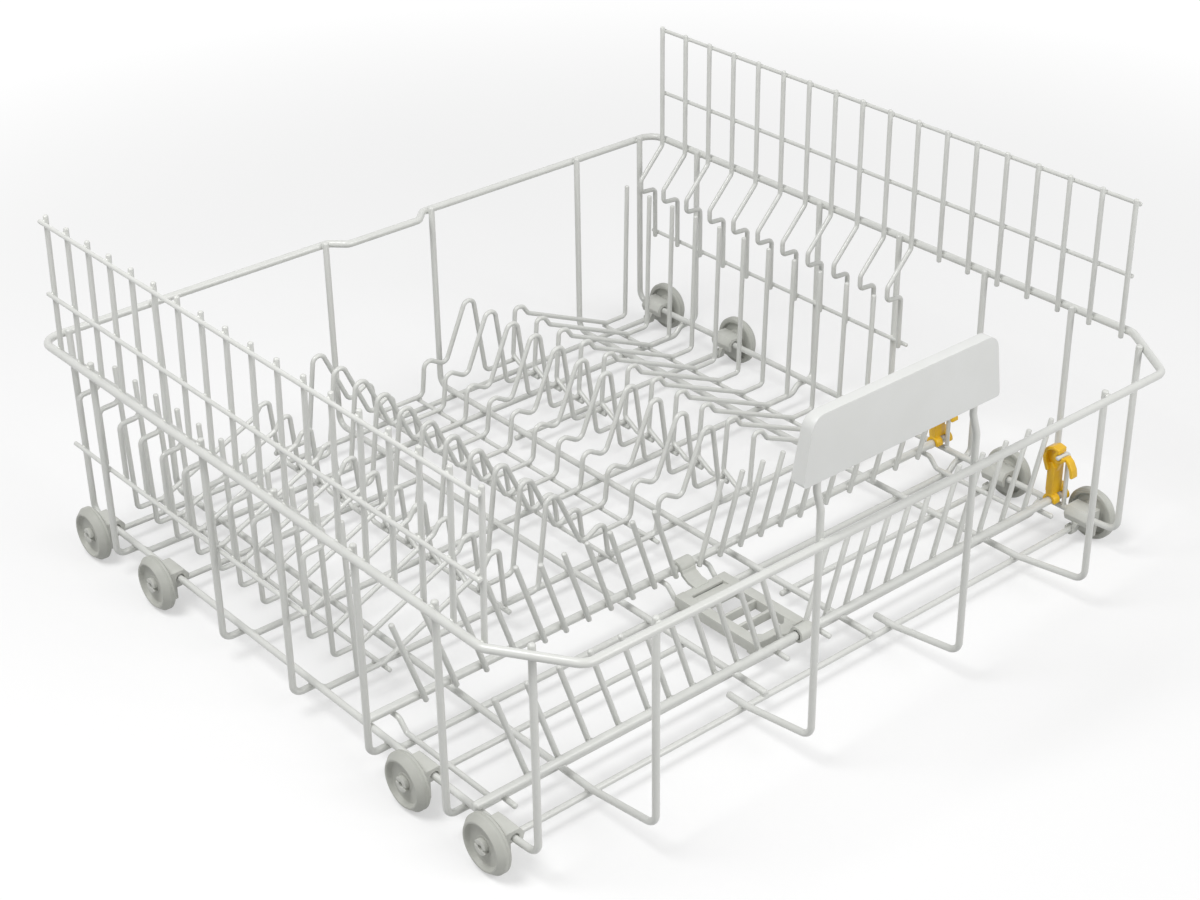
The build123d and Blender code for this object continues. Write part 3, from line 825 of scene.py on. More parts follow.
@dataclass
class Workshop:
    """What every sub-assembly needs to make its pieces."""

    finishes: FinishShop = field(default_factory=FinishShop)
    wire_tree: CoatedWireTree = field(default_factory=CoatedWireTree)
    bead_tree: WeldBeadTree = field(default_factory=WeldBeadTree)
    wire_sides: int = 18
    bead_unevenness: float = 0.1
    edge_segments: int = 3
    edge_angle: float = 48.0
    smooth_angle: float = 36.0

    def wire(self, run: WireRun) -> None:
        """Makes the coated wires of one run and puts them in the place of their plain ones."""
        piece = linked(run.label or f"{run.name}_coated", run.draft())
        self.wire_tree.run(piece, Sides=self.wire_sides, Finish=self.finishes.material(WIRE_COATING))
        self._mount(piece, run.body.value, Slot.WIRE, () if run.label else (run.name,))

    def moulded(
        self,
        draft: MeshDraft,
        name: str,
        body: str,
        finish: Finish,
        replaced: Sequence[str],
        edge: float = 0.0,
        wall: float = 0.0,
    ) -> None:
        """Makes a moulded piece with softened edges.

        Args:
            draft: the piece's faces.
            name: the piece's name.
            body: the body it moves with.
            finish: its finish.
            replaced: plain nodes that it stands for.
            edge: radius of its edges.
            wall: wall thickness, for a tray.
        """
        piece = linked(name, draft.write(name))
        piece.data.materials.append(self.finishes.material(finish))
        if wall:
            shell = piece.modifiers.new("wall", "SOLIDIFY")
            shell.thickness = wall * MM
            shell.offset = -1.0
            shell.use_even_offset = True
        if edge:
            soft = piece.modifiers.new("edge", "BEVEL")
            soft.width = edge * MM
            soft.segments = self.edge_segments
            soft.limit_method = "ANGLE"
            soft.angle_limit = math.radians(self.edge_angle)
            soft.use_clamp_overlap = True
        settle(piece)
        piece.data.shade_smooth()
        piece.data.set_sharp_from_angle(angle=math.radians(self.smooth_angle))
        self._mount(piece, body, finish.slot, replaced)

    def beads(self, name: str, body: Body, beads: Sequence[Bead], seed: int) -> None:
        """Makes the weld beads of one body.

        Args:
            name: the piece's name.
            body: the body they move with.
            beads: where they are and how large.
            seed: seed of their small unevenness.
        """
        mesh = bpy.data.meshes.new(name)
        mesh.from_pydata([Vector(b.place) * MM for b in beads], [], [])
        axis = mesh.attributes.new("bead_axis", "FLOAT_VECTOR", "POINT")
        axis.data.foreach_set("vector", [value for b in beads for value in b.axis])
        size = mesh.attributes.new("bead_size", "FLOAT_VECTOR", "POINT")
        size.data.foreach_set("vector", [value * MM for b in beads for value in (b.width, b.width, b.height)])
        piece = linked(name, mesh)
        coat = self.finishes.material(WIRE_COATING)
        self.bead_tree.run(piece, Unevenness=self.bead_unevenness, Seed=seed, Finish=coat)
        self._mount(piece, body.value, Slot.WIRE, ())

    @staticmethod
    def _mount(piece: bpy.types.Object, body: str, slot: Slot, replaced: Sequence[str]) -> None:
        """Lets a piece ride on its body and stand for its plain nodes."""
        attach(piece, body)
        if replaced:
            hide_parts(*replaced)
        LOG.info("%s: %d faces", piece.name, len(piece.data.polygons))


@dataclass(frozen=True)
class RackSizes:
    """Sizes that several sub-assemblies share."""

    rim_d: float = 5.0
    frame_d: float = 4.2
    axle_wire_d: float = 3.8
    plate_d: float = 3.3
    tie_d: float = 2.8
    bar_d: float = 3.3
    fence_rail_d: float = 2.7
    rail_d: float = 5.4
    prong_d: float = 3.4
    support_d: float = 3.3
    hoop_d: float = 3.0
    weld: float = 0.05
    turn_gap: float = 0.3
    rim_x: float = 250.0
    rim_y: float = 240.0
    rim_z: float = 147.5
    rim_cut_x: float = 29.0
    rim_cut_y: float = 44.0
    tip_over_rim: float = 4.0
    floor_z: float = 10.1
    corner_z: float = 15.9
    front_bend_z: float = 21.5
    cross_y: tuple[float, ...] = (187.0, 64.0, -9.4, -83.0, -152.7)
    outer_long_x: float = 173.0
    mid_long_x: float = 43.5
    side_x: float = 233.0
    handle_post_x: float = 60.0
    wheel_y: tuple[float, ...] = (217.4, 140.5, -117.0, -185.4)
    axle_wire_offset: float = 3.8
    axle_wire_end_x: float = 232.0
    row_count: int = 11
    row_first_y: float = 224.7
    row_pitch: float = 24.5
    tie_x: tuple[float, ...] = (17.0, 190.0)
    rack_x: float = 101.3
    rear_rail_y: float = -67.0
    front_rail_y: float = -165.5
    support_x: tuple[float, ...] = (17.0, 217.0)
    handle_front_y: float = -237.0
    handle_set_back: float = 5.0
    handle_over_rim: float = 36.5

    @property
    def long_z(self) -> float:
        """Height of the long floor wires."""
        return self.floor_z + self.frame_d + self.weld

    @property
    def side_z(self) -> float:
        """Height of the side rails."""
        return self.corner_z + self.frame_d + self.weld

    @property
    def axle_wire_z(self) -> float:
        """Height of the wires between the wheels."""
        return self.long_z - (self.frame_d + self.axle_wire_d) / 2 - self.weld

    @property
    def plate_z(self) -> float:
        """Height of the flat parts of the plate wires."""
        return self.long_z + (self.frame_d + self.plate_d) / 2 + self.weld

    @property
    def tie_z(self) -> float:
        """Height of the tie rods."""
        return self.plate_z - (self.plate_d + self.tie_d) / 2 - self.weld

    @property
    def rail_z(self) -> float:
        """Height of the spike rails."""
        return self.side_z + (self.frame_d + self.rail_d) / 2 + self.turn_gap

    @property
    def support_low_z(self) -> float:
        """Height of the rail supports between the rails."""
        return self.floor_z + (self.frame_d + self.support_d) / 2 + self.weld

    @property
    def support_z(self) -> float:
        """Height of the rail supports under the rails."""
        return self.rail_z - (self.rail_d + self.support_d) / 2 - self.turn_gap

    @property
    def post_top(self) -> float:
        """Height of the posts' tips."""
        return self.rim_z + self.tip_over_rim

    @property
    def post_x(self) -> float:
        """Distance of the side posts from the middle."""
        return self.rim_x - (self.rim_d + self.frame_d) / 2 - self.weld

    @property
    def post_y(self) -> float:
        """Distance of the front and back posts from the middle."""
        return self.rim_y - (self.rim_d + self.frame_d) / 2 - self.weld

    @property
    def row_y(self) -> list[float]:
        """Places of the plate rows from back to front."""
        return [self.row_first_y - self.row_pitch * n for n in range(self.row_count)]

    @property
    def axle_wire_y(self) -> list[float]:
        """Places of the wires between the wheels."""
        return [y + self.axle_wire_offset for y in self.wheel_y]


def lengthwise(*line: Flat) -> list[Point]:
    """Lists the points of a wire that runs from back to front, given by depth and height."""
    return [(0.0, y, z) for y, z in line]


def crosswise(sign: int, *line: Flat) -> list[Point]:
    """Lists the points of a wire that runs across the rack, given by distance from the middle and height."""
    return [(sign * x, 0.0, z) for x, z in line]


def at_depths(places: Sequence[float]) -> list[Point]:
    """Lists one station at each depth."""
    return [(0.0, y, 0.0) for y in places]


def on_both_sides(*places: float) -> list[Point]:
    """Lists the stations at each distance from the middle, first all on the left and then on the right."""
    return [(side.value * x, 0.0, 0.0) for side in Side for x in places]


@dataclass
class OuterFrame:
    """Rim, cross wires, floor wires, posts, side rails and axle wires."""

    sizes: RackSizes
    back_bend: float = 12.0
    front_bend: float = 10.0
    jog_half: float = 29.0
    jog_depth: float = 10.0
    jog_bend: float = 6.0
    cross_bend: float = 6.0
    long_bend: float = 8.0
    step_outer_x: float = 230.5
    step_inner_x: float = 224.5
    long_rise_y: float = -184.0
    side_rise_y: float = -196.0
    handle_foot_y: float = -170.0
    handle_foot_rise_y: float = -186.0
    handle_lean_low: float = 18.0
    handle_lean_high: float = 28.0
    handle_post_over: float = 63.5
    axle_split_x: float = 38.0

    def rim(self) -> WireRun:
        """Lists the closed rim with its cut front corners and the jog at the back."""
        s = self.sizes
        right = [
            (s.rim_x - s.rim_cut_x, -s.rim_y, s.rim_z),
            (s.rim_x, s.rim_cut_y - s.rim_y, s.rim_z),
            (s.rim_x, s.rim_y, s.rim_z),
            (self.jog_half + self.jog_depth, s.rim_y, s.rim_z),
            (self.jog_half, s.rim_y - self.jog_depth, s.rim_z),
        ]
        left = [(-x, y, z) for x, y, z in reversed(right)]
        start = (0.0, -s.rim_y, s.rim_z)
        bends = [self.front_bend, self.front_bend, self.back_bend, self.jog_bend, self.jog_bend]
        path = [start, *right, *left, start]
        return WireRun("rim_wire", s.rim_d, path, [*bends, *reversed(bends)], closed=True)

    def side_front_y(self) -> float:
        """Finds where the front upright of a side rail stands inside the rim's cut corner."""
        s = self.sizes
        diagonal = Vector((-s.rim_cut_x, -s.rim_cut_y)).normalized()
        inward = Vector((diagonal.y, -diagonal.x))
        stand_off = (s.rim_d + s.frame_d) / 2 + s.weld
        along = (s.rim_x + inward.x * stand_off - s.side_x) / -diagonal.x
        return s.rim_cut_y - s.rim_y + diagonal.y * along + inward.y * stand_off

    def runs(self) -> list[WireRun]:
        """Lists the frame's wires."""
        s = self.sizes
        half = [
            (s.post_x, s.post_top),
            (s.post_x, s.corner_z),
            (self.step_outer_x, s.corner_z),
            (self.step_inner_x, s.floor_z),
        ]
        cross = crosswise(-1, *half) + crosswise(1, *reversed(half))
        outer = lengthwise(
            (s.post_y, s.post_top),
            (s.post_y, s.long_z),
            (self.long_rise_y, s.long_z),
            (-s.post_y, s.front_bend_z),
            (-s.post_y, s.post_top),
        )
        middle = outer[:3]
        handle_y = s.handle_front_y + s.handle_set_back
        post = lengthwise(
            (self.handle_foot_y, s.long_z),
            (self.handle_foot_rise_y, s.long_z),
            (-s.post_y, s.front_bend_z),
            (-s.post_y, s.rim_z + self.handle_lean_low),
            (handle_y, s.rim_z + self.handle_lean_high),
            (handle_y, s.rim_z + self.handle_post_over),
        )
        front = self.side_front_y()
        side = lengthwise(
            (s.post_y, s.post_top),
            (s.post_y, s.side_z),
            (self.side_rise_y, s.side_z),
            (front, s.front_bend_z),
            (front, s.post_top),
        )
        end, split, z = s.axle_wire_end_x, self.axle_split_x, s.axle_wire_z
        through = crosswise(1, (-end, z), (end, z))
        outer_half = crosswise(1, (-end, z), (-split, z))
        first, *middle_two, last = s.axle_wire_y
        half_stations = [(x, y, 0.0) for y in middle_two for x in (0.0, end + split)]
        return [
            self.rim(),
            WireRun("cross_wires", s.frame_d, cross, self.cross_bend, at_depths(s.cross_y)),
            WireRun("outer_floor_wires", s.frame_d, outer, self.long_bend, on_both_sides(s.outer_long_x)),
            WireRun("mid_floor_wires", s.frame_d, middle, self.long_bend, on_both_sides(s.mid_long_x)),
            WireRun("handle_posts", s.frame_d, post, self.long_bend, on_both_sides(s.handle_post_x)),
            WireRun("side_rails", s.frame_d, side, self.long_bend, on_both_sides(s.side_x)),
            WireRun("long_axle_wires", s.axle_wire_d, through, stations=at_depths((first, last))),
            WireRun("split_axle_wires", s.axle_wire_d, outer_half, stations=half_stations),
        ]

    def beads(self) -> list[Bead]:
        """Lists the welds of the frame."""
        s = self.sizes
        rim_gap = s.rim_d / 2 + s.weld / 2
        at_rim_x, at_rim_y = s.rim_x - rim_gap, s.rim_y - rim_gap
        floor_gap = s.floor_z + (s.frame_d + s.weld) / 2
        side_gap = s.corner_z + (s.frame_d + s.weld) / 2
        floor_rows = [*s.cross_y, *s.axle_wire_y]
        found = []
        for side in Side:
            x = side.value
            back = [(x * a, at_rim_y, s.rim_z) for a in (s.outer_long_x, s.mid_long_x, s.side_x)]
            front = [(x * a, -at_rim_y, s.rim_z) for a in (s.outer_long_x, s.handle_post_x)]
            floor = [(x * a, y, floor_gap) for a in (s.outer_long_x, s.mid_long_x) for y in floor_rows]
            rails = [(x * s.side_x, y, side_gap) for y in s.cross_y]
            foot = (x * s.handle_post_x, s.axle_wire_y[-1], floor_gap)
            found += Weld.RIM.beads(s.frame_d, ACROSS_X, [(x * at_rim_x, y, s.rim_z) for y in s.cross_y])
            found += Weld.RIM.beads(s.frame_d, ACROSS_Y, back + front)
            found += Weld.FLOOR.beads(s.frame_d, ACROSS_Z, [*floor, *rails, foot])
        return found


@dataclass
class SideFence:
    """The upright bars and rails above and inside one side of the rim."""

    sizes: RackSizes
    side: Side
    bar_count: int = 18
    bent_count: int = 11
    first_y: float = 224.7
    lean: float = 0.0
    pitch: float = 24.42
    above_rim: float = 87.0
    rail_heights: tuple[float, float] = (83.0, 36.3)
    bend_drop: float = 3.0
    waist_x: float = 225.0
    waist_top_drop: float = 25.0
    waist_low_drop: float = 34.5
    shin_drop: float = 35.5
    low_rail_drop: float = 71.0
    low_rail_front_y: float = -25.0
    foot_under_rail: float = 3.0
    foot_drop: float = 4.5
    bend: float = 3.6

    @property
    def bar_x(self) -> float:
        """Distance of the bars from the middle."""
        return self.sizes.rim_x - (self.sizes.rim_d + self.sizes.bar_d) / 2 - self.sizes.weld

    @property
    def low_rail_x(self) -> float:
        """Distance of the low rail from the middle."""
        return self.sizes.post_x - (self.sizes.frame_d + self.sizes.fence_rail_d) / 2 - self.sizes.weld

    @property
    def low_bar_x(self) -> float:
        """Distance of the bent bars' feet from the middle."""
        return self.low_rail_x - (self.sizes.bar_d + self.sizes.fence_rail_d) / 2 - self.sizes.weld

    @property
    def bar_y(self) -> list[float]:
        """Places of the bars from back to front."""
        return [self.first_y - self.pitch * n for n in range(self.bar_count)]

    def runs(self) -> list[WireRun]:
        """Lists the fence's bars."""
        s, sign, word = self.sizes, self.side.value, self.side.word
        top = (self.bar_x - self.lean, s.rim_z + self.above_rim)
        bent = crosswise(
            sign,
            top,
            (self.bar_x, s.rim_z - self.bend_drop),
            (self.waist_x, s.rim_z - self.waist_top_drop),
            (self.waist_x, s.rim_z - self.waist_low_drop),
            (self.low_bar_x, s.rim_z - self.shin_drop),
            (self.low_bar_x, s.rim_z - self.low_rail_drop - self.foot_under_rail),
        )
        straight = crosswise(sign, top, (self.bar_x, s.rim_z - self.foot_drop))
        back = at_depths(self.bar_y[: self.bent_count])
        front = at_depths(self.bar_y[self.bent_count :])
        return [
            WireRun(f"bent_bars_{word}", s.bar_d, bent, self.bend, back),
            WireRun(f"straight_bars_{word}", s.bar_d, straight, stations=front),
        ]

    def beads(self) -> list[Bead]:
        """Lists the welds of the fence."""
        s, sign = self.sizes, self.side.value
        outside = self.bar_x + (s.bar_d + s.weld) / 2
        slope = self.lean / (self.above_rim + self.bend_drop)
        places = []
        for rise in (0.0, *self.rail_heights):
            x = sign * (outside - slope * (rise + self.bend_drop))
            places += [(x, y, s.rim_z + rise) for y in self.bar_y]
        low = s.rim_z - self.low_rail_drop
        inside = sign * (self.low_bar_x + (s.bar_d + s.weld) / 2)
        places += [(inside, y, low) for y in self.bar_y[: self.bent_count]]
        post = sign * (self.low_rail_x + (s.fence_rail_d + s.weld) / 2)
        places += [(post, y, low) for y in s.cross_y if y > self.low_rail_front_y]
        return Weld.ROW.beads(s.bar_d, ACROSS_X, places)


@dataclass
class PlateRows:
    """The rows of hooped wires that hold plates, their side racks and the tie rods under them."""

    sizes: RackSizes
    hoop_bend: float = 5.0
    rack_bend: float = 3.3
    plate_end_x: float = 104.0
    rack_tail: float = 5.0
    rack_foot_rise: float = 13.0
    rack_low_x: float = 190.0
    rack_prong_x: float = 208.5
    rack_tip_x: float = 211.3
    rack_tip_drop: float = 25.0
    hump_rise: float = 0.55
    tie_over_back: float = 4.0
    tie_over_front: float = 6.0
    hoops: tuple[Flat, ...] = ((23.0, -101.5), (41.0, -111.7), (65.6, -56.6))
    hoop_start_x: float = 19.8
    hoop_end_x: float = 75.9
    rack_crest: tuple[Flat, ...] = ((104.5, -88.5), (111.5, -90.0), (116.0, -96.6))
    lug_share: float = 0.55
    lug_fill: float = 0.95

    def _plate_half(self) -> list[Flat]:
        """Lists half of a plate wire's outline from the middle outwards."""
        s = self.sizes
        raised = [(x, s.rim_z + drop) for x, drop in self.hoops]
        return [(self.hoop_start_x, s.plate_z), *raised, (self.hoop_end_x, s.plate_z)]

    def _rack(self) -> list[Flat]:
        """Lists a side rack's outline from its foot outwards, with its tip."""
        s = self.sizes
        crest = [(x, s.rim_z + drop) for x, drop in self.rack_crest]
        low = [(self.rack_low_x, s.plate_z), (self.rack_prong_x, s.plate_z)]
        return [*crest, *low, (self.rack_tip_x, s.rim_z - self.rack_tip_drop)]

    @staticmethod
    def _both(half: Sequence[Flat], y: float) -> list[Point]:
        """Completes an outline to both sides at one row."""
        return [(-x, y, z) for x, z in reversed(half)] + [(x, y, z) for x, z in half]

    def runs(self) -> list[WireRun]:
        """Lists the rows' wires."""
        s = self.sizes
        half, rack = self._plate_half(), self._rack()
        hoop_bends = [self.hoop_bend] * len(half)
        rack_bends = [self.rack_bend] * (len(rack) - 1)
        last_bends = [*hoop_bends, self.rack_bend, *rack_bends]
        plate = self._both([*half, (self.plate_end_x, s.plate_z)], 0.0)
        last = self._both([*half, (s.rack_x, s.plate_z), *rack], s.row_y[-1])
        stations = at_depths(s.row_y[:-1])
        foot_z = s.plate_z - s.plate_d - s.weld
        hump_z = s.plate_z + s.plate_d + self.hump_rise
        both_last = [*reversed(last_bends), *last_bends]
        runs = [
            WireRun("plate_wires", s.plate_d, plate, self.hoop_bend, stations),
            WireRun("end_plate_wire", s.plate_d, last, both_last),
        ]
        for side in Side:
            x = side.value * s.rack_x
            path = [
                (x, -s.row_pitch - self.rack_tail, foot_z),
                (x, -self.rack_foot_rise, foot_z),
                (x, 0.0, hump_z),
                *crosswise(side.value, *rack),
            ]
            runs.append(WireRun(f"side_racks_{side.word}", s.plate_d, path, self.rack_bend, stations))
        tie_back, tie_front = s.row_y[0] + self.tie_over_back, s.row_y[-1] - self.tie_over_front
        tie = lengthwise((tie_back, s.tie_z), (tie_front, s.tie_z))
        runs.append(WireRun("tie_rods", s.tie_d, tie, stations=on_both_sides(*s.tie_x)))
        return runs

    def beads(self) -> list[Bead]:
        """Lists the welds of the rows, and the lugs that carry the tie rods on the cross wires."""
        s = self.sizes
        under = s.plate_z - (s.plate_d + s.weld) / 2
        over = s.plate_z + (s.plate_d + s.weld) / 2
        cross_top = s.floor_z + s.frame_d / 2
        tie_low = s.tie_z - s.tie_d / 2
        lug = (ACROSS_Z, s.tie_d * self.lug_share, (tie_low - cross_top) * self.lug_fill)
        lug_z = (cross_top + tie_low) / 2
        found = []
        for side in Side:
            ties = [side.value * x for x in s.tie_x]
            rack = side.value * s.rack_x
            places = [(x, y, under) for x in ties for y in s.row_y]
            places += [(rack, y, under) for y in s.row_y[1:]]
            places += [(rack, y, over) for y in s.row_y[:-1]]
            found += Weld.ROW.beads(s.plate_d, ACROSS_Z, places)
            found += [Bead((x, y, lug_z), *lug) for y in s.cross_y[:3] for x in ties]
        return found


@dataclass
class SpikeRow:
    """One rail across the rack with its slanted spikes: the left half is fixed, the right half folds."""

    sizes: RackSizes
    row: str
    body: Body
    rail_y: float
    spike_side: int
    left_end_x: float = 237.5
    right_end_x: float = 239.5
    middle: float = 0.6
    first_x: float = 10.2
    pitch: float = 17.3
    close_count: int = 6
    wide_last_x: float = 206.1
    wide_pitch: float = 21.5
    wide_count: int = 5
    left_inset: float = 7.5
    lean: float = 18.5
    close_above: float = 52.0
    wide_above: float = 58.0
    below: float = 3.0
    hoop_front: float = 5.7
    hoop_z: float = 59.5
    hoop_inner_x: float = 221.0

    @property
    def close_x(self) -> list[float]:
        """Places of the close spikes from the middle outwards."""
        return [self.first_x + self.pitch * n for n in range(self.close_count)]

    def wide_x(self, side: Side) -> list[float]:
        """Lists the places of one side's wide spikes from the outer end inwards."""
        last = self.wide_last_x - (self.left_inset if side is Side.LEFT else 0.0)
        return [last - self.wide_pitch * n for n in range(self.wide_count)]

    def runs(self) -> list[WireRun]:
        """Lists the row's rails, spikes and the hoop that holds its lever."""
        s, rail_y = self.sizes, self.rail_y
        spike_y = rail_y + self.spike_side * ((s.rail_d + s.prong_d) / 2 + s.weld)
        tilt = math.tan(math.radians(self.lean))
        left = [(-self.left_end_x, rail_y, s.rail_z), (-self.middle, rail_y, s.rail_z)]
        right = [(self.middle, rail_y, s.rail_z), (self.right_end_x, rail_y, s.rail_z)]
        runs = [
            WireRun(f"{self.row}_fixed_rail", s.rail_d, left),
            WireRun(f"{self.row}_folding_rail", s.rail_d, right, body=self.body),
        ]
        for side, kind, body in ((Side.LEFT, "fixed", Body.BASKET), (Side.RIGHT, "folding", self.body)):
            sign = side.value
            node = f"{self.row}_{kind}_prongs"
            close = (self.close_x, self.close_above, "")
            wide = (self.wide_x(side), self.wide_above, f"{node}_wide")
            for places, above, label in (close, wide):
                spike = [
                    (-sign * tilt * self.below, spike_y, s.rail_z - self.below),
                    (sign * tilt * above, spike_y, s.rail_z + above),
                ]
                stations = [(sign * x, 0.0, 0.0) for x in places]
                runs.append(WireRun(node, s.prong_d, spike, stations=stations, body=body, label=label))
        hoop_y = rail_y - self.hoop_front
        hoop = [
            (s.side_x, hoop_y, s.side_z + s.frame_d / 2 + s.weld),
            (s.side_x, hoop_y, self.hoop_z),
            (self.hoop_inner_x, hoop_y, self.hoop_z),
        ]
        runs.append(WireRun(f"{self.row}_lever_hoop", s.hoop_d, hoop, s.hoop_d))
        return runs

    def beads(self, side: Side) -> list[Bead]:
        """Lists the welds between the rail and the spikes of one side.

        Args:
            side: the fixed left half or the folding right half.

        Returns:
            Its beads, and for the left half also the foot of the lever's hoop.
        """
        s = self.sizes
        y = self.rail_y + self.spike_side * (s.rail_d + s.weld) / 2
        places = [(side.value * x, y, s.rail_z) for x in (*self.close_x, *self.wide_x(side))]
        found = Weld.SPIKE.beads(s.prong_d, ACROSS_Y, places)
        if side is Side.LEFT:
            foot = (s.side_x, self.rail_y - self.hoop_front, s.side_z + (s.frame_d + s.weld) / 2)
            found += Weld.HOOP.beads(s.hoop_d, ACROSS_Z, [foot])
        return found


@dataclass
class RailSupports:
    """The bent wires that carry both spike rails."""

    sizes: RackSizes
    back: float = 8.0
    front: float = 10.0
    bend: float = 4.0
    rear_drop: float = 5.0
    front_drop: float = 4.0
    bead_width: float = 1.7
    bead_height: float = 1.05

    def runs(self) -> list[WireRun]:
        """Lists the supports."""
        s = self.sizes
        drop = s.support_z - s.support_low_z
        rear, front = s.rear_rail_y - self.rear_drop, s.front_rail_y + self.front_drop
        path = lengthwise(
            (s.rear_rail_y + self.back, s.support_z),
            (rear, s.support_z),
            (rear - drop, s.support_low_z),
            (front + drop, s.support_low_z),
            (front, s.support_z),
            (s.front_rail_y - self.front, s.support_z),
        )
        return [WireRun("rail_supports", s.support_d, path, self.bend, on_both_sides(*s.support_x))]

    def beads(self) -> list[Bead]:
        """Lists the welds of the supports on the cross wires."""
        s = self.sizes
        z = s.floor_z + (s.frame_d + s.weld) / 2
        size = (self.bead_width, self.bead_height)
        places = [(side.value * x, y, z) for side in Side for x in s.support_x for y in s.cross_y[3:]]
        return [Bead(place, ACROSS_Z, *size) for place in places]


@dataclass
class RackWheel:
    """One wheel: a bevelled tread, a deep dish outside and a shallow one inside."""

    sizes: RackSizes
    side: Side
    number: int
    radius: float = 17.5
    width: float = 8.0
    inner_x: float = 241.2
    hub_radius: float = 7.5
    hub_length: float = 5.4
    hub_foot: float = 0.6
    hub_waist: float = 5.9
    hub_tip: float = 5.5
    bore: float = 4.0
    bevel_in: float = 3.0
    bevel_along: float = 3.6
    lip: float = 1.2
    dish_depth: float = 3.0
    dish_slope: float = 1.0
    inner_dish: float = 2.6
    inner_wall: float = 4.2
    inner_lip_low: float = 3.4
    inner_lip_high: float = 1.0
    inner_recess: float = 0.2
    inner_bevel: float = 1.2
    parting: float = 2.4
    groove: float = 0.18
    groove_half: float = 0.25
    segments: int = 96

    def _profile(self) -> list[Flat]:
        """Lists the section by distance along the axle and radius, with its corners rounded."""
        r, w, line = self.radius, self.width, self.parting
        rim_edge = r - self.bevel_in - self.lip
        corners = [
            ((0.0, self.bore), 0.0),
            ((0.0, self.hub_radius), 0.4),
            ((self.inner_dish, self.hub_radius + self.hub_foot), 0.6),
            ((self.inner_dish, r - self.inner_wall), 0.7),
            ((self.inner_recess, r - self.inner_lip_low), 0.5),
            ((self.inner_recess, r - self.inner_lip_high), 0.4),
            ((self.inner_bevel, r), 0.5),
            ((line - self.groove_half, r), 0.0),
            ((line, r - self.groove), 0.0),
            ((line + self.groove_half, r), 0.0),
            ((w - self.bevel_along, r), 0.5),
            ((w, r - self.bevel_in), 0.5),
            ((w, rim_edge), 0.5),
            ((w - self.dish_depth, rim_edge - self.dish_slope), 0.7),
            ((w - self.dish_depth, self.hub_waist), 0.0),
            ((self.hub_length, self.hub_tip), 0.3),
            ((self.hub_length, self.bore), 0.0),
        ]
        return rounded([c for c, _ in corners], [e for _, e in corners], steps=3)

    def build(self, shop: Workshop) -> None:
        """Makes the wheel with softened edges and a fine parting line round its tread."""
        axle = (self.inner_x, self.sizes.wheel_y[self.number - 1], self.radius)
        draft = MeshDraft()
        draft.lathe(self._profile(), plane("uvw", axle, self.side.value), self.segments)
        name = f"wheel_{self.side.word}_{self.number}"
        shop.moulded(draft, f"{name}_turned", name, WHEEL_PLASTIC, (name,))


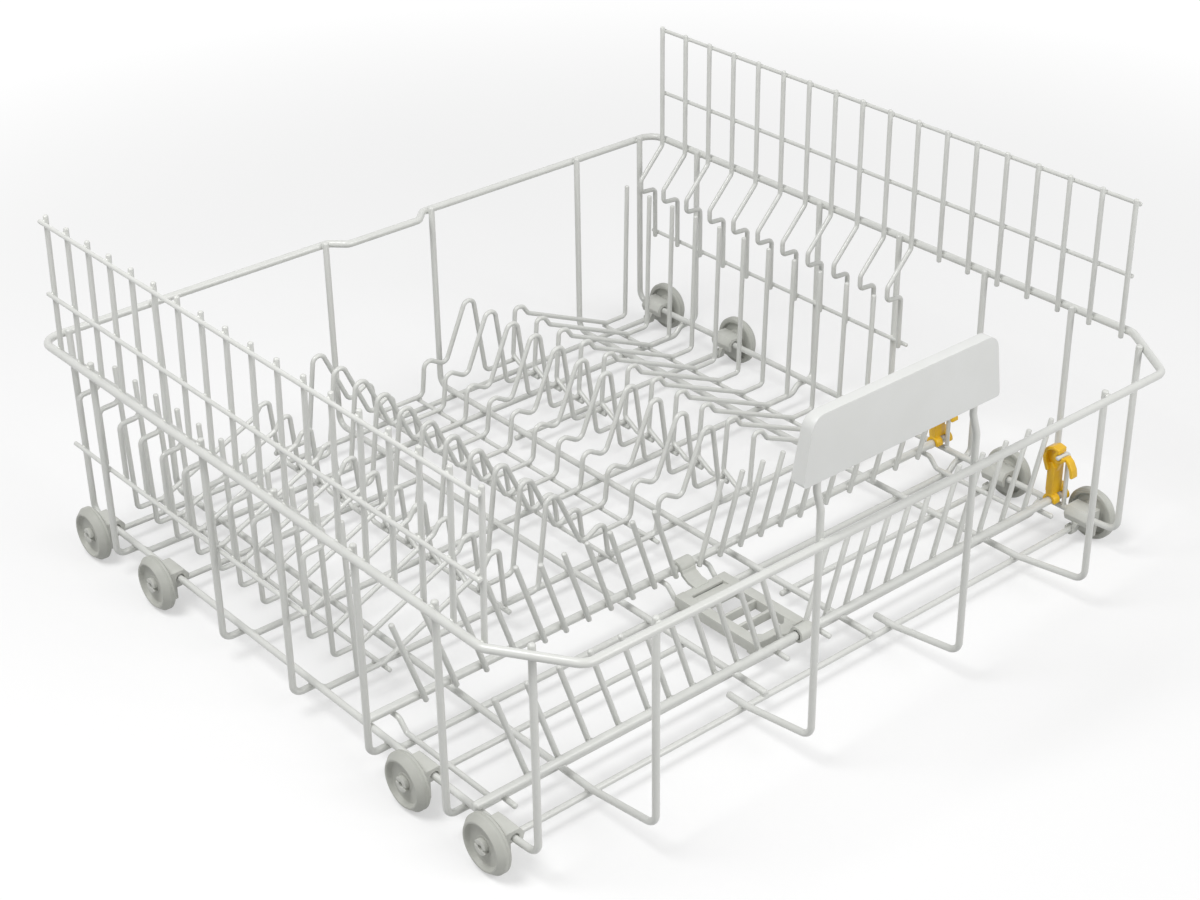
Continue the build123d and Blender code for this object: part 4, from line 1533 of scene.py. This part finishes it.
@dataclass
class WheelBracket:
    """The clip of one wheel: a saddle over the side rail, a hook on the axle wire and a split axle."""

    sizes: RackSizes
    side: Side
    number: int
    inner_x: float = 226.6
    outer_x: float = 240.1
    wheel_z: float = 17.5
    half: float = 8.9
    roof_z: float = 25.4
    roof_inset: float = 3.2
    low_z: float = 7.0
    eave: float = 3.4
    leg: float = 2.0
    leg_drop: float = 4.6
    leg_chamfer: float = 0.4
    brow: tuple[Flat, ...] = ((0.0, 0.4), (0.5, 1.8))
    channel: float = 2.9
    hook_room: float = 0.05
    hook_wall: float = 1.7
    hook_turn: Flat = (-205.0, 38.0)
    hook_span: Flat = (0.4, 5.2)
    cheek_span: Flat = (0.6, 5.0)
    cheek_rise: float = 0.6
    cheek_lap: float = 0.1
    cheek_top_drop: float = 3.6
    cheek_flare: float = 2.4
    boss_x: float = 236.4
    boss_radius: float = 5.6
    boss_over: float = 0.6
    boss_taper: float = 0.4
    axle_radius: float = 3.75
    axle_core: float = 0.02
    axle_pit: Flat = (3.0, 0.9)
    axle_head: float = 4.7
    axle_hollow: float = 1.7
    axle_segments: int = 40
    head_start_x: float = 246.9
    head_end_x: float = 249.3
    head_lap: float = 0.3
    slot_angle: float = 14.0
    slot_turn: float = 12.0
    edge: float = 0.55

    def _saddle(self) -> list[Flat]:
        """Lists the section across the rail by distance from the middle and height."""
        x, z, c = self.sizes.side_x, self.sizes.side_z, self.channel
        return [
            (x + c, self.low_z),
            *arc((x, z), c, 0.0, 180.0, steps=14),
            (x - c, z - self.leg_drop),
            (x - c - self.leg, z - self.leg_drop + self.leg_chamfer),
            *[(self.inner_x + inset, z + rise) for inset, rise in self.brow],
            (self.inner_x + self.roof_inset, self.roof_z),
            (self.outer_x, self.roof_z),
            (self.outer_x, self.roof_z - self.eave),
            (x + c + self.leg, self.low_z),
        ]

    def _axle(self) -> list[Flat]:
        """Lists the section of the boss and the axle by distance from the middle and radius."""
        pit, pit_radius = self.axle_pit
        boss_end = self.outer_x + self.boss_over
        return [
            (self.boss_x, self.axle_core),
            (self.boss_x, self.boss_radius),
            (boss_end, self.boss_radius - self.boss_taper),
            (boss_end, self.axle_radius),
            (self.head_start_x, self.axle_radius),
            (self.head_start_x, pit_radius),
            (self.head_start_x - pit, self.axle_core),
        ]

    def build(self, shop: Workshop) -> None:
        """Makes the saddle, its cheeks, the lower hook and the split axle."""
        s, sign = self.sizes, self.side.value
        y = s.wheel_y[self.number - 1]
        across = plane("uwv", (0.0, y, 0.0), sign)
        along = plane("wuv", (0.0, y, 0.0), sign)
        axle = plane("uvw", (0.0, y, self.wheel_z), sign)
        draft = MeshDraft()
        draft.prism(self._saddle(), across, -self.half, self.half)
        wire_y, wire_z = s.axle_wire_offset, s.axle_wire_z
        hook_in, hook_out = s.axle_wire_d / 2 + self.hook_room, s.axle_wire_d / 2 + self.hook_wall
        hook = clip_ring((wire_y, wire_z), hook_in, hook_out, *self.hook_turn)
        draft.prism(hook, along, *[self.inner_x + end for end in self.hook_span])
        cheek_top = s.side_z - self.cheek_top_drop
        cheek = [
            (wire_y - hook_out, wire_z + self.cheek_rise),
            (wire_y - hook_in - self.cheek_lap, wire_z + self.cheek_rise),
            (wire_y - hook_in - self.cheek_lap, cheek_top),
            (wire_y - hook_out - self.cheek_flare, cheek_top),
        ]
        draft.prism(cheek, along, *[self.inner_x + end for end in self.cheek_span])
        draft.lathe(self._axle(), axle, self.axle_segments)
        for start in (self.slot_turn, self.slot_turn + 180.0):
            turn = (start + self.slot_angle, start + 180.0 - self.slot_angle)
            finger = clip_ring((0.0, self.wheel_z), self.axle_hollow, self.axle_head, *turn)
            draft.prism(finger, along, self.head_start_x - self.head_lap, self.head_end_x)
        name = f"bracket_{self.side.word}_{self.number}"
        shop.moulded(draft, f"{name}_clip", Body.BASKET.value, BRACKET_PLASTIC, (name,), edge=self.edge)


@dataclass
class SpikeLever:
    """The yellow catch on the end of a folding rail: two clips, a stem, a sprung hook and a thumb tab.

    Outlines give the distance to the back of the rail and the height above it.
    """

    sizes: RackSizes
    row: str
    body: Body
    rail_y: float
    clip_x: float = 224.5
    clip_width: float = 5.7
    clip_room: float = 0.06
    clip_turn: Flat = (-80.0, 196.0)
    end_clip_x: float = 235.8
    end_clip_width: float = 4.0
    wall: float = 2.15
    foot: tuple[Flat, ...] = ((-1.9, 4.0), (3.3, 4.0), (3.3, 8.4), (-1.9, 8.4))
    foot_corner: float = 0.7
    foot_inset: float = 0.2
    stem: tuple[Flat, ...] = ((-2.2, 6.0), (3.6, 6.0), (3.6, 22.6), (4.6, 26.0), (0.6, 28.4), (-2.2, 24.6))
    stem_corners: tuple[float, ...] = (0.6, 0.6, 2.0, 1.2, 2.0, 2.0)
    stem_inset: float = 0.1
    stem_width: float = 9.5
    hook_x: float = 222.5
    hook_width: float = 8.1
    strap: tuple[Flat, ...] = ((2.2, 22.0), (5.0, 28.6), (5.6, 33.4), (3.6, 37.4), (-0.8, 39.4), (-5.4, 38.2))
    strap_thick: float = 2.3
    hoop: Flat = (-5.7, 34.25)
    hoop_room: float = 1.85
    cup_turn: Flat = (172.0, 448.0)
    cup_inset: float = 0.15
    web_back: tuple[Flat, ...] = ((-2.0, 21.0), (3.2, 21.0), (4.8, 28.6), (5.2, 33.4), (3.4, 37.0))
    web_top: Flat = (-0.8, 38.8)
    web_front: tuple[Flat, ...] = ((-2.6, 37.0), (-1.8, 34.2), (-3.4, 31.0), (-5.4, 30.2), (-3.6, 26.0))
    web_insets: Flat = (3.4, 0.4)
    tab: tuple[Flat, ...] = ((-8.6, 33.6), (-11.4, 31.8), (-14.0, 27.4), (-15.0, 22.0))
    tab_thick: float = 2.4
    tab_width: float = 5.8
    tab_inset: float = 0.3
    edge: float = 0.5

    def build(self, shop: Workshop) -> None:
        """Makes the lever from straps and clips with soft edges."""
        s = self.sizes
        place = plane("wuv", (0.0, self.rail_y, s.rail_z))
        draft = MeshDraft()
        inner = s.rail_d / 2 + self.clip_room
        clip_end = self.end_clip_x + self.end_clip_width
        left, right = self.hook_x, self.hook_x + self.hook_width
        ring = clip_ring((0.0, 0.0), inner, inner + self.wall, *self.clip_turn)
        draft.prism(ring, place, self.clip_x, self.clip_x + self.clip_width)
        draft.prism(ring, place, self.end_clip_x, clip_end)
        foot = rounded(self.foot, self.foot_corner, steps=3)
        draft.prism(foot, place, self.clip_x + self.foot_inset, clip_end - self.foot_inset)
        stem = rounded(self.stem, self.stem_corners, steps=3)
        draft.prism(stem, place, self.clip_x + self.stem_inset, self.clip_x + self.stem_width)
        draft.prism(ribbon(self.strap, self.strap_thick), place, left, right)
        cup = clip_ring(self.hoop, self.hoop_room, self.hoop_room + self.strap_thick, *self.cup_turn)
        draft.prism(cup, place, left + self.cup_inset, right - self.cup_inset)
        web = [*self.web_back, self.web_top, *self.web_front]
        draft.prism(web, place, left + self.web_insets[0], right - self.web_insets[1])
        draft.prism(ribbon(self.tab, self.tab_thick), place, right - self.tab_width, right - self.tab_inset)
        node = f"{self.row}_lever"
        shop.moulded(draft, f"{node}_moulded", self.body.value, LEVER_PLASTIC, (node,), edge=self.edge)


@dataclass
class CentreBearing:
    """The moulded frame in the middle that holds the inner ends of both spike rails.

    Strap and neck give the distance from their rail and the height above it.
    """

    sizes: RackSizes
    half: float = 20.5
    strap_half: float = 5.8
    inset: float = 0.2
    wall: float = 2.2
    back: float = 15.0
    front: float = 14.5
    top: float = 19.5
    low_gap: float = 0.2
    beam: float = 7.4
    wire_room: float = 0.1
    lap: float = 0.6
    slab_corner: float = 0.3
    rib: float = 2.2
    rib_inset: float = 0.5
    ribs: tuple[float, ...] = (0.0, 0.3, 0.5, 0.765, 1.0)
    plate: Flat = (2.2, 0.25)
    rear_plates: tuple[tuple[float, float, Flat], ...] = (
        (6.4, 0.3, (2.2, 0.25)),
        (7.4, 10.6, (2.6, 1.7)),
        (16.4, 11.4, (2.2, 0.25)),
    )
    front_span: Flat = (0.3, 5.6)
    gusset: float = 5.0
    gusset_foot: float = 5.3
    gusset_lap: float = 0.5
    gusset_plate: Flat = (2.1, 0.4)
    strap_turn: Flat = (12.0, 196.0)
    strap: tuple[Flat, ...] = ((-4.2, 0.6), (-5.4, -2.6), (-10.6, -5.4), (-17.6, -6.4))
    strap_thick: float = 2.2
    sleeve_start: float = -1.5
    sleeve_end: float = 9.5
    sleeve_turn: Flat = (-20.0, 200.0)
    cap_start: float = -1.2
    cap_turn: Flat = (199.0, 341.0)
    cap_rooms: Flat = (0.05, 0.1)
    neck: tuple[Flat, ...] = ((4.2, 0.4), (6.0, -3.2), (10.4, -6.0), (18.0, -6.8))
    neck_start: float = -1.3
    neck_thick: float = 2.6
    bend: float = 2.0
    hook_inset: float = 5.0
    hook_gap: float = 0.8
    hook_half: Flat = (0.6, 2.0)
    hook_drop: float = 1.8
    hook_lap: float = 0.4
    edge: float = 0.35

    @property
    def rear_y(self) -> float:
        """Depth of the frame's back end."""
        return self.sizes.rear_rail_y - self.back

    @property
    def front_y(self) -> float:
        """Depth of the frame's front end."""
        return self.sizes.front_rail_y + self.front

    @property
    def low_z(self) -> float:
        """Height of the frame's underside."""
        return self.sizes.floor_z + self.sizes.frame_d / 2 + self.low_gap

    @property
    def clear(self) -> float:
        """Half width of the channels for the support wires."""
        return self.sizes.support_d / 2 + self.wire_room

    @property
    def inside(self) -> float:
        """Distance of the beams' inner faces from the middle."""
        return self.half - self.beam

    def _under_top(self, drops: Flat) -> Flat:
        """Gives two heights by their drops from the top."""
        return self.top - drops[0], self.top - drops[1]

    def _slab(self, draft: MeshDraft, x: Flat, y: Flat, z: Flat) -> None:
        """Adds a flat block between the given ends, with rounded upright corners."""
        corners = [(x[0], y[0]), (x[1], y[0]), (x[1], y[1]), (x[0], y[1])]
        draft.prism(rounded(corners, self.slab_corner, steps=3), plane("uvw"), *z)

    def _beams(self, draft: MeshDraft) -> None:
        """Adds the two beams, each with a channel over its support wire."""
        low, wire_x, clear = self.low_z, self.sizes.support_x[0], self.clear
        wire_top = self.sizes.support_low_z + clear
        section = [
            (self.half, low),
            (self.half, self.top),
            (self.inside, self.top),
            (self.inside, low),
            (wire_x - clear, low),
            (wire_x - clear, wire_top),
            (wire_x + clear, wire_top),
            (wire_x + clear, low),
        ]
        for side in Side:
            outline = [(side.value * x, z) for x, z in section]
            draft.prism(outline, plane("uwv"), self.front_y, self.rear_y)

    def _plates(self, draft: MeshDraft) -> None:
        """Adds the ribs and plates between the beams, and the gussets of the front plate."""
        rear, front, inside = self.rear_y, self.front_y, self.inside
        span = (-inside - self.lap, inside + self.lap)
        rib_z = (self.low_z + self.rib_inset, self.top - self.rib_inset)
        for share in self.ribs:
            y = front + (rear - front - self.rib) * share
            self._slab(draft, span, (y, y + self.rib), rib_z)
        for near, far, drops in self.rear_plates:
            self._slab(draft, span, (rear - near, rear - far), self._under_top(drops))
        front_span = (front + self.front_span[0], front + self.front_span[1])
        self._slab(draft, span, front_span, self._under_top(self.plate))
        foot = front + self.gusset_foot
        for side in Side:
            sign = side.value
            tip = (sign * inside - sign * self.gusset, foot)
            edge = sign * inside + sign * self.gusset_lap
            gusset = [(edge, foot), tip, (edge, foot + self.gusset)]
            draft.prism(gusset, plane("uvw"), *self._under_top(self.gusset_plate))

    def _bearings(self, draft: MeshDraft) -> None:
        """Adds the strap over the rear rail and the sleeve round the front rail."""
        s, upright = self.sizes, plane("wuv")
        inner = s.rail_d / 2 + s.turn_gap
        outer = inner + self.wall
        wide, slim = self.strap_half, self.strap_half - self.inset
        rear, front, z = s.rear_rail_y, s.front_rail_y, s.rail_z
        draft.prism(clip_ring((rear, z), inner, outer, *self.strap_turn), upright, -wide, wide)
        strap = ribbon([(rear + u, z + v) for u, v in self.strap], self.strap_thick, bend=self.bend)
        draft.prism(strap, upright, -slim, slim)
        sleeve = clip_ring((front, z), inner, outer, *self.sleeve_turn)
        draft.prism(sleeve, upright, self.sleeve_start, self.sleeve_end)
        cap = clip_ring((front, z), inner + self.cap_rooms[0], outer - self.cap_rooms[1], *self.cap_turn)
        draft.prism(cap, upright, self.cap_start, wide)
        neck = ribbon([(front + u, z + v) for u, v in self.neck], self.neck_thick, bend=self.bend)
        draft.prism(neck, upright, self.neck_start, self.sleeve_end - self.inset)

    def _hooks(self, draft: MeshDraft) -> None:
        """Adds the small hooks that hold the support wires from below."""
        half_x, half_y = self.hook_half
        reach = self.clear + self.hook_gap
        height = (self.low_z - self.hook_drop, self.low_z + self.hook_lap)
        for side in Side:
            for y in (self.rear_y - self.hook_inset, self.front_y + self.hook_inset):
                for shift in (-reach, reach):
                    x = side.value * self.sizes.support_x[0] + shift
                    self._slab(draft, (x - half_x, x + half_x), (y - half_y, y + half_y), height)

    def build(self, shop: Workshop) -> None:
        """Makes the frame with its bearings and hooks."""
        draft = MeshDraft()
        for add in (self._beams, self._plates, self._bearings, self._hooks):
            add(draft)
        node = ("centre_bearing",)
        body = Body.BASKET.value
        shop.moulded(draft, "centre_bearing_moulded", body, BRACKET_PLASTIC, node, edge=self.edge)


@dataclass
class FrontHandle:
    """The hollow grip panel on the two front posts, with a cover plate let into its back."""

    sizes: RackSizes
    height: float = 39.0
    half_low: float = 75.0
    half_high: float = 69.3
    deep_low: float = 10.5
    deep_high: float = 8.2
    top_corner: float = 9.0
    low_corner: float = 2.0
    wall: float = 2.0
    edge: float = 0.7
    cover: float = 1.3
    cover_inset: float = 0.7
    cover_lap: float = 0.04
    cover_edge: float = 0.4
    socket_span: Flat = (0.6, 30.0)
    socket_room: float = 0.12
    socket_wall: float = 1.6
    socket_edge: float = 0.25
    socket_segments: int = 32

    def _depth(self, up: float) -> float:
        """Gives the panel's depth at a height above its lower edge."""
        return self.deep_low + (self.deep_high - self.deep_low) * up / self.height

    def _outline(self, inset: float) -> list[Flat]:
        """Lists the front outline, smaller by an inset; its last edge is the lower one."""
        low, high = self.half_low - inset, self.half_high - inset
        corners = [(low, inset), (high, self.height - inset), (-high, self.height - inset), (-low, inset)]
        radii = [self.low_corner, self.top_corner - inset, self.top_corner - inset, self.low_corner]
        return rounded(corners, radii, steps=10)

    def build(self, shop: Workshop) -> None:
        """Makes the shell, the cover plate and the sockets of the posts."""
        s = self.sizes
        foot = s.rim_z + s.handle_over_rim
        body = Body.BASKET.value

        def place(u: float, v: float, w: float) -> Point:
            """Places the front outline, with w as a share of the panel's depth."""
            return u, s.handle_front_y + w * self._depth(v), foot + v

        outline = self._outline(0.0)
        shell = MeshDraft()
        share = 1.0 - self.cover / self.deep_low
        shell.tray(outline, place, share, open_edge=len(outline) - 1)
        node = ("handle_panel",)
        shop.moulded(shell, "handle_shell", body, HANDLE_PLASTIC, node, edge=self.edge, wall=self.wall)
        plate = MeshDraft()
        plate.prism(self._outline(self.cover_inset), place, share - self.cover_lap, 1.0)
        shop.moulded(plate, "handle_cover", body, HANDLE_PLASTIC, (), edge=self.cover_edge)
        sockets = MeshDraft()
        post_y = s.handle_front_y + s.handle_set_back
        low, high = self.socket_span
        bore, outer = s.frame_d / 2 + self.socket_room, s.frame_d / 2 + self.socket_wall
        section = [(low, bore), (low, outer), (high, outer), (high, bore)]
        for side in Side:
            post = plane("vwu", (side.value * s.handle_post_x, post_y, foot))
            sockets.lathe(section, post, self.socket_segments)
        shop.moulded(sockets, "handle_sockets", body, HANDLE_PLASTIC, (), edge=self.socket_edge)


@dataclass
class Studio:
    """Floor, soft lamps, pale surroundings and the camera, in metres."""

    floor_half: float = 6.0
    floor_tone: Colour = (190, 190, 190)
    floor_lift: float = 0.46
    far_lift: float = 0.82
    near_edge: float = 0.55
    far_edge: float = 1.6
    ambient: float = 0.36
    key_power: float = 40.0
    key_place: Point = (0.55, -2.5, 1.65)
    key_size: Flat = (2.2, 1.5)
    top_power: float = 19.0
    top_place: Point = (-0.9, 0.1, 1.7)
    top_size: Flat = (0.8, 0.8)
    lamp_aim: Point = (0.0, 0.0, 0.1)
    camera_place: Point = (-0.76899, -0.89931, 0.75508)
    camera_aim: Point = (0.5605397, 0.6624753, -0.4969121)
    camera_roll: float = -0.80
    camera_reach: Flat = (0.02, 50.0)
    focal_pixels: float = 2212.14
    photo_width: float = 1200.0
    sensor: float = 36.0

    @staticmethod
    def _seen(draft: TreeDraft) -> None:
        """Adds the mask "seen" of rays that show a surface: from the camera, off gloss or through glass."""
        draft.add("path", "ShaderNodeLightPath")
        draft.add("glossy", "ShaderNodeMath", operation="MAXIMUM")
        draft.add("seen", "ShaderNodeMath", operation="MAXIMUM")
        draft.link(
            "path.Is Camera Ray > glossy.0",
            "path.Is Glossy Ray > glossy.1",
            "glossy.0 > seen.0",
            "path.Is Transmission Ray > seen.1",
        )

    def _floor(self) -> None:
        """Lays a pale floor that keeps the rack's shadow."""
        half = self.floor_half
        mesh = bpy.data.meshes.new("floor")
        square = [(-half, -half, 0), (half, -half, 0), (half, half, 0), (-half, half, 0)]
        mesh.from_pydata(square, [], [(0, 1, 2, 3)])
        floor = linked("floor", mesh)
        made = bpy.data.materials.new("floor")
        made.use_nodes = True
        made.node_tree.nodes.clear()
        draft = TreeDraft(made.node_tree)
        self._seen(draft)
        edges = {"From Min": self.near_edge, "From Max": self.far_edge}
        lifts = {"To Min": self.floor_lift, "To Max": self.far_lift}
        draft.add("matt", "ShaderNodeBsdfDiffuse", {"Color": linear(self.floor_tone)})
        draft.add("place", "ShaderNodeTexCoord")
        draft.add("distance", "ShaderNodeVectorMath", operation="LENGTH")
        draft.add("level", "ShaderNodeMapRange", edges | lifts, interpolation_type="SMOOTHSTEP")
        draft.add("strength", "ShaderNodeMath", operation="MULTIPLY")
        draft.add("lift", "ShaderNodeEmission")
        draft.add("both", "ShaderNodeAddShader")
        draft.add("surface", "ShaderNodeOutputMaterial")
        draft.link(
            "place.Object > distance.0",
            "distance.Value > level.Value",
            "seen.0 > strength.0",
            "level.Result > strength.1",
            "strength.0 > lift.Strength",
            "matt.0 > both.0",
            "lift.0 > both.1",
            "both.0 > surface.Surface",
        )
        mesh.materials.append(made)

    def _surroundings(self) -> None:
        """Makes the world white to the eye and evenly soft as light."""
        world = bpy.data.worlds.new("studio")
        bpy.context.scene.world = world
        world.use_nodes = True
        draft = TreeDraft(world.node_tree)
        back = world.node_tree.nodes["Background"]
        back.inputs["Color"].default_value = (1.0, 1.0, 1.0, 1.0)
        draft.nodes["back"] = back
        self._seen(draft)
        draft.add("level", "ShaderNodeMapRange", {"To Min": self.ambient, "To Max": 1.0})
        draft.link("seen.0 > level.Value", "level.Result > back.Strength")

    def _lamp(self, name: str, place: Point, size: Flat, power: float) -> None:
        """Hangs a soft box that faces the rack.

        Args:
            name: the lamp's name.
            place: its middle.
            size: its width and height.
            power: its power in watts.
        """
        lamp = bpy.data.lights.new(name, "AREA")
        lamp.shape = "RECTANGLE"
        lamp.size, lamp.size_y = size
        lamp.energy = power
        made = linked(name, lamp)
        aim = Vector(self.lamp_aim) - Vector(place)
        made.matrix_world = Matrix.Translation(place) @ aim.to_track_quat("-Z", "Y").to_matrix().to_4x4()

    def _camera(self) -> None:
        """Sets the camera at the photograph's place and angle."""
        data = bpy.data.cameras.new("camera")
        data.sensor_width = self.sensor
        data.lens = self.focal_pixels * self.sensor / self.photo_width
        data.clip_start, data.clip_end = self.camera_reach
        camera = linked("camera", data)
        aim = Vector(self.camera_aim).to_track_quat("-Z", "Y").to_matrix().to_4x4()
        roll = Matrix.Rotation(math.radians(self.camera_roll), 4, "Z")
        camera.matrix_world = Matrix.Translation(self.camera_place) @ aim @ roll
        bpy.context.scene.camera = camera

    def build(self) -> None:
        """Sets up the whole studio."""
        self._floor()
        self._surroundings()
        self._lamp("key", self.key_place, self.key_size, self.key_power)
        self._lamp("top", self.top_place, self.top_size, self.top_power)
        self._camera()
        bpy.context.scene.view_settings.view_transform = "Standard"


class PlainNodes:
    """Wires that keep the shape they came with and only take the coating."""

    NAMES = ("fence_rails_left", "fence_rails_right")

    def dress(self, nodes: dict[str, bpy.types.Object], shop: Workshop) -> None:
        """Gives the coating to the wires among the loaded nodes."""
        coat = shop.finishes.material(WIRE_COATING)
        for name in self.NAMES:
            node = nodes[name]
            if not node.material_slots:
                node.data.materials.append(coat)
            for slot in node.material_slots:
                slot.material = coat
            LOG.info("%s: coated", name)


LEFT_FENCE_FIRST_Y = 222.2
LEFT_FENCE_LEAN = 2.5
SPIKE_WELD_SEED = 5
BASKET_WELD_SEED = 3


def corners(box: tuple[Vector, Vector]) -> list[list[float]]:
    """Turns a box into plain lists of numbers."""
    return [list(box[0]), list(box[1])]


def main() -> None:
    """Builds the rack's pieces in order."""
    logging.basicConfig(level=logging.INFO, format="%(message)s")
    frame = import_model()
    shop = Workshop()
    sizes = RackSizes()
    outer = OuterFrame(sizes)
    left_fence = SideFence(sizes, Side.LEFT, first_y=LEFT_FENCE_FIRST_Y, lean=LEFT_FENCE_LEAN)
    fences = [left_fence, SideFence(sizes, Side.RIGHT)]
    rows = PlateRows(sizes)
    rear = SpikeRow(sizes, "rear", Body.REAR_SPIKES, sizes.rear_rail_y, -1)
    front = SpikeRow(sizes, "front", Body.FRONT_SPIKES, sizes.front_rail_y, 1)
    supports = RailSupports(sizes)
    for assembly in (outer, *fences, rows, rear, front, supports):
        for run in assembly.runs():
            shop.wire(run)
    PlainNodes().dress(frame["nodes"], shop)
    basket_beads = outer.beads() + rows.beads() + supports.beads()
    for fence in fences:
        basket_beads += fence.beads()
    for row in (rear, front):
        basket_beads += row.beads(Side.LEFT)
        shop.beads(f"{row.row}_spike_welds", row.body, row.beads(Side.RIGHT), SPIKE_WELD_SEED)
    shop.beads("basket_welds", Body.BASKET, basket_beads, BASKET_WELD_SEED)
    for side in Side:
        for number in range(1, len(sizes.wheel_y) + 1):
            RackWheel(sizes, side, number).build(shop)
            WheelBracket(sizes, side, number).build(shop)
    for row in (rear, front):
        SpikeLever(sizes, row.row, row.body, row.rail_y).build(shop)
    CentreBearing(sizes).build(shop)
    FrontHandle(sizes).build(shop)
    Studio().build()


if __name__ == "__main__":
    main()
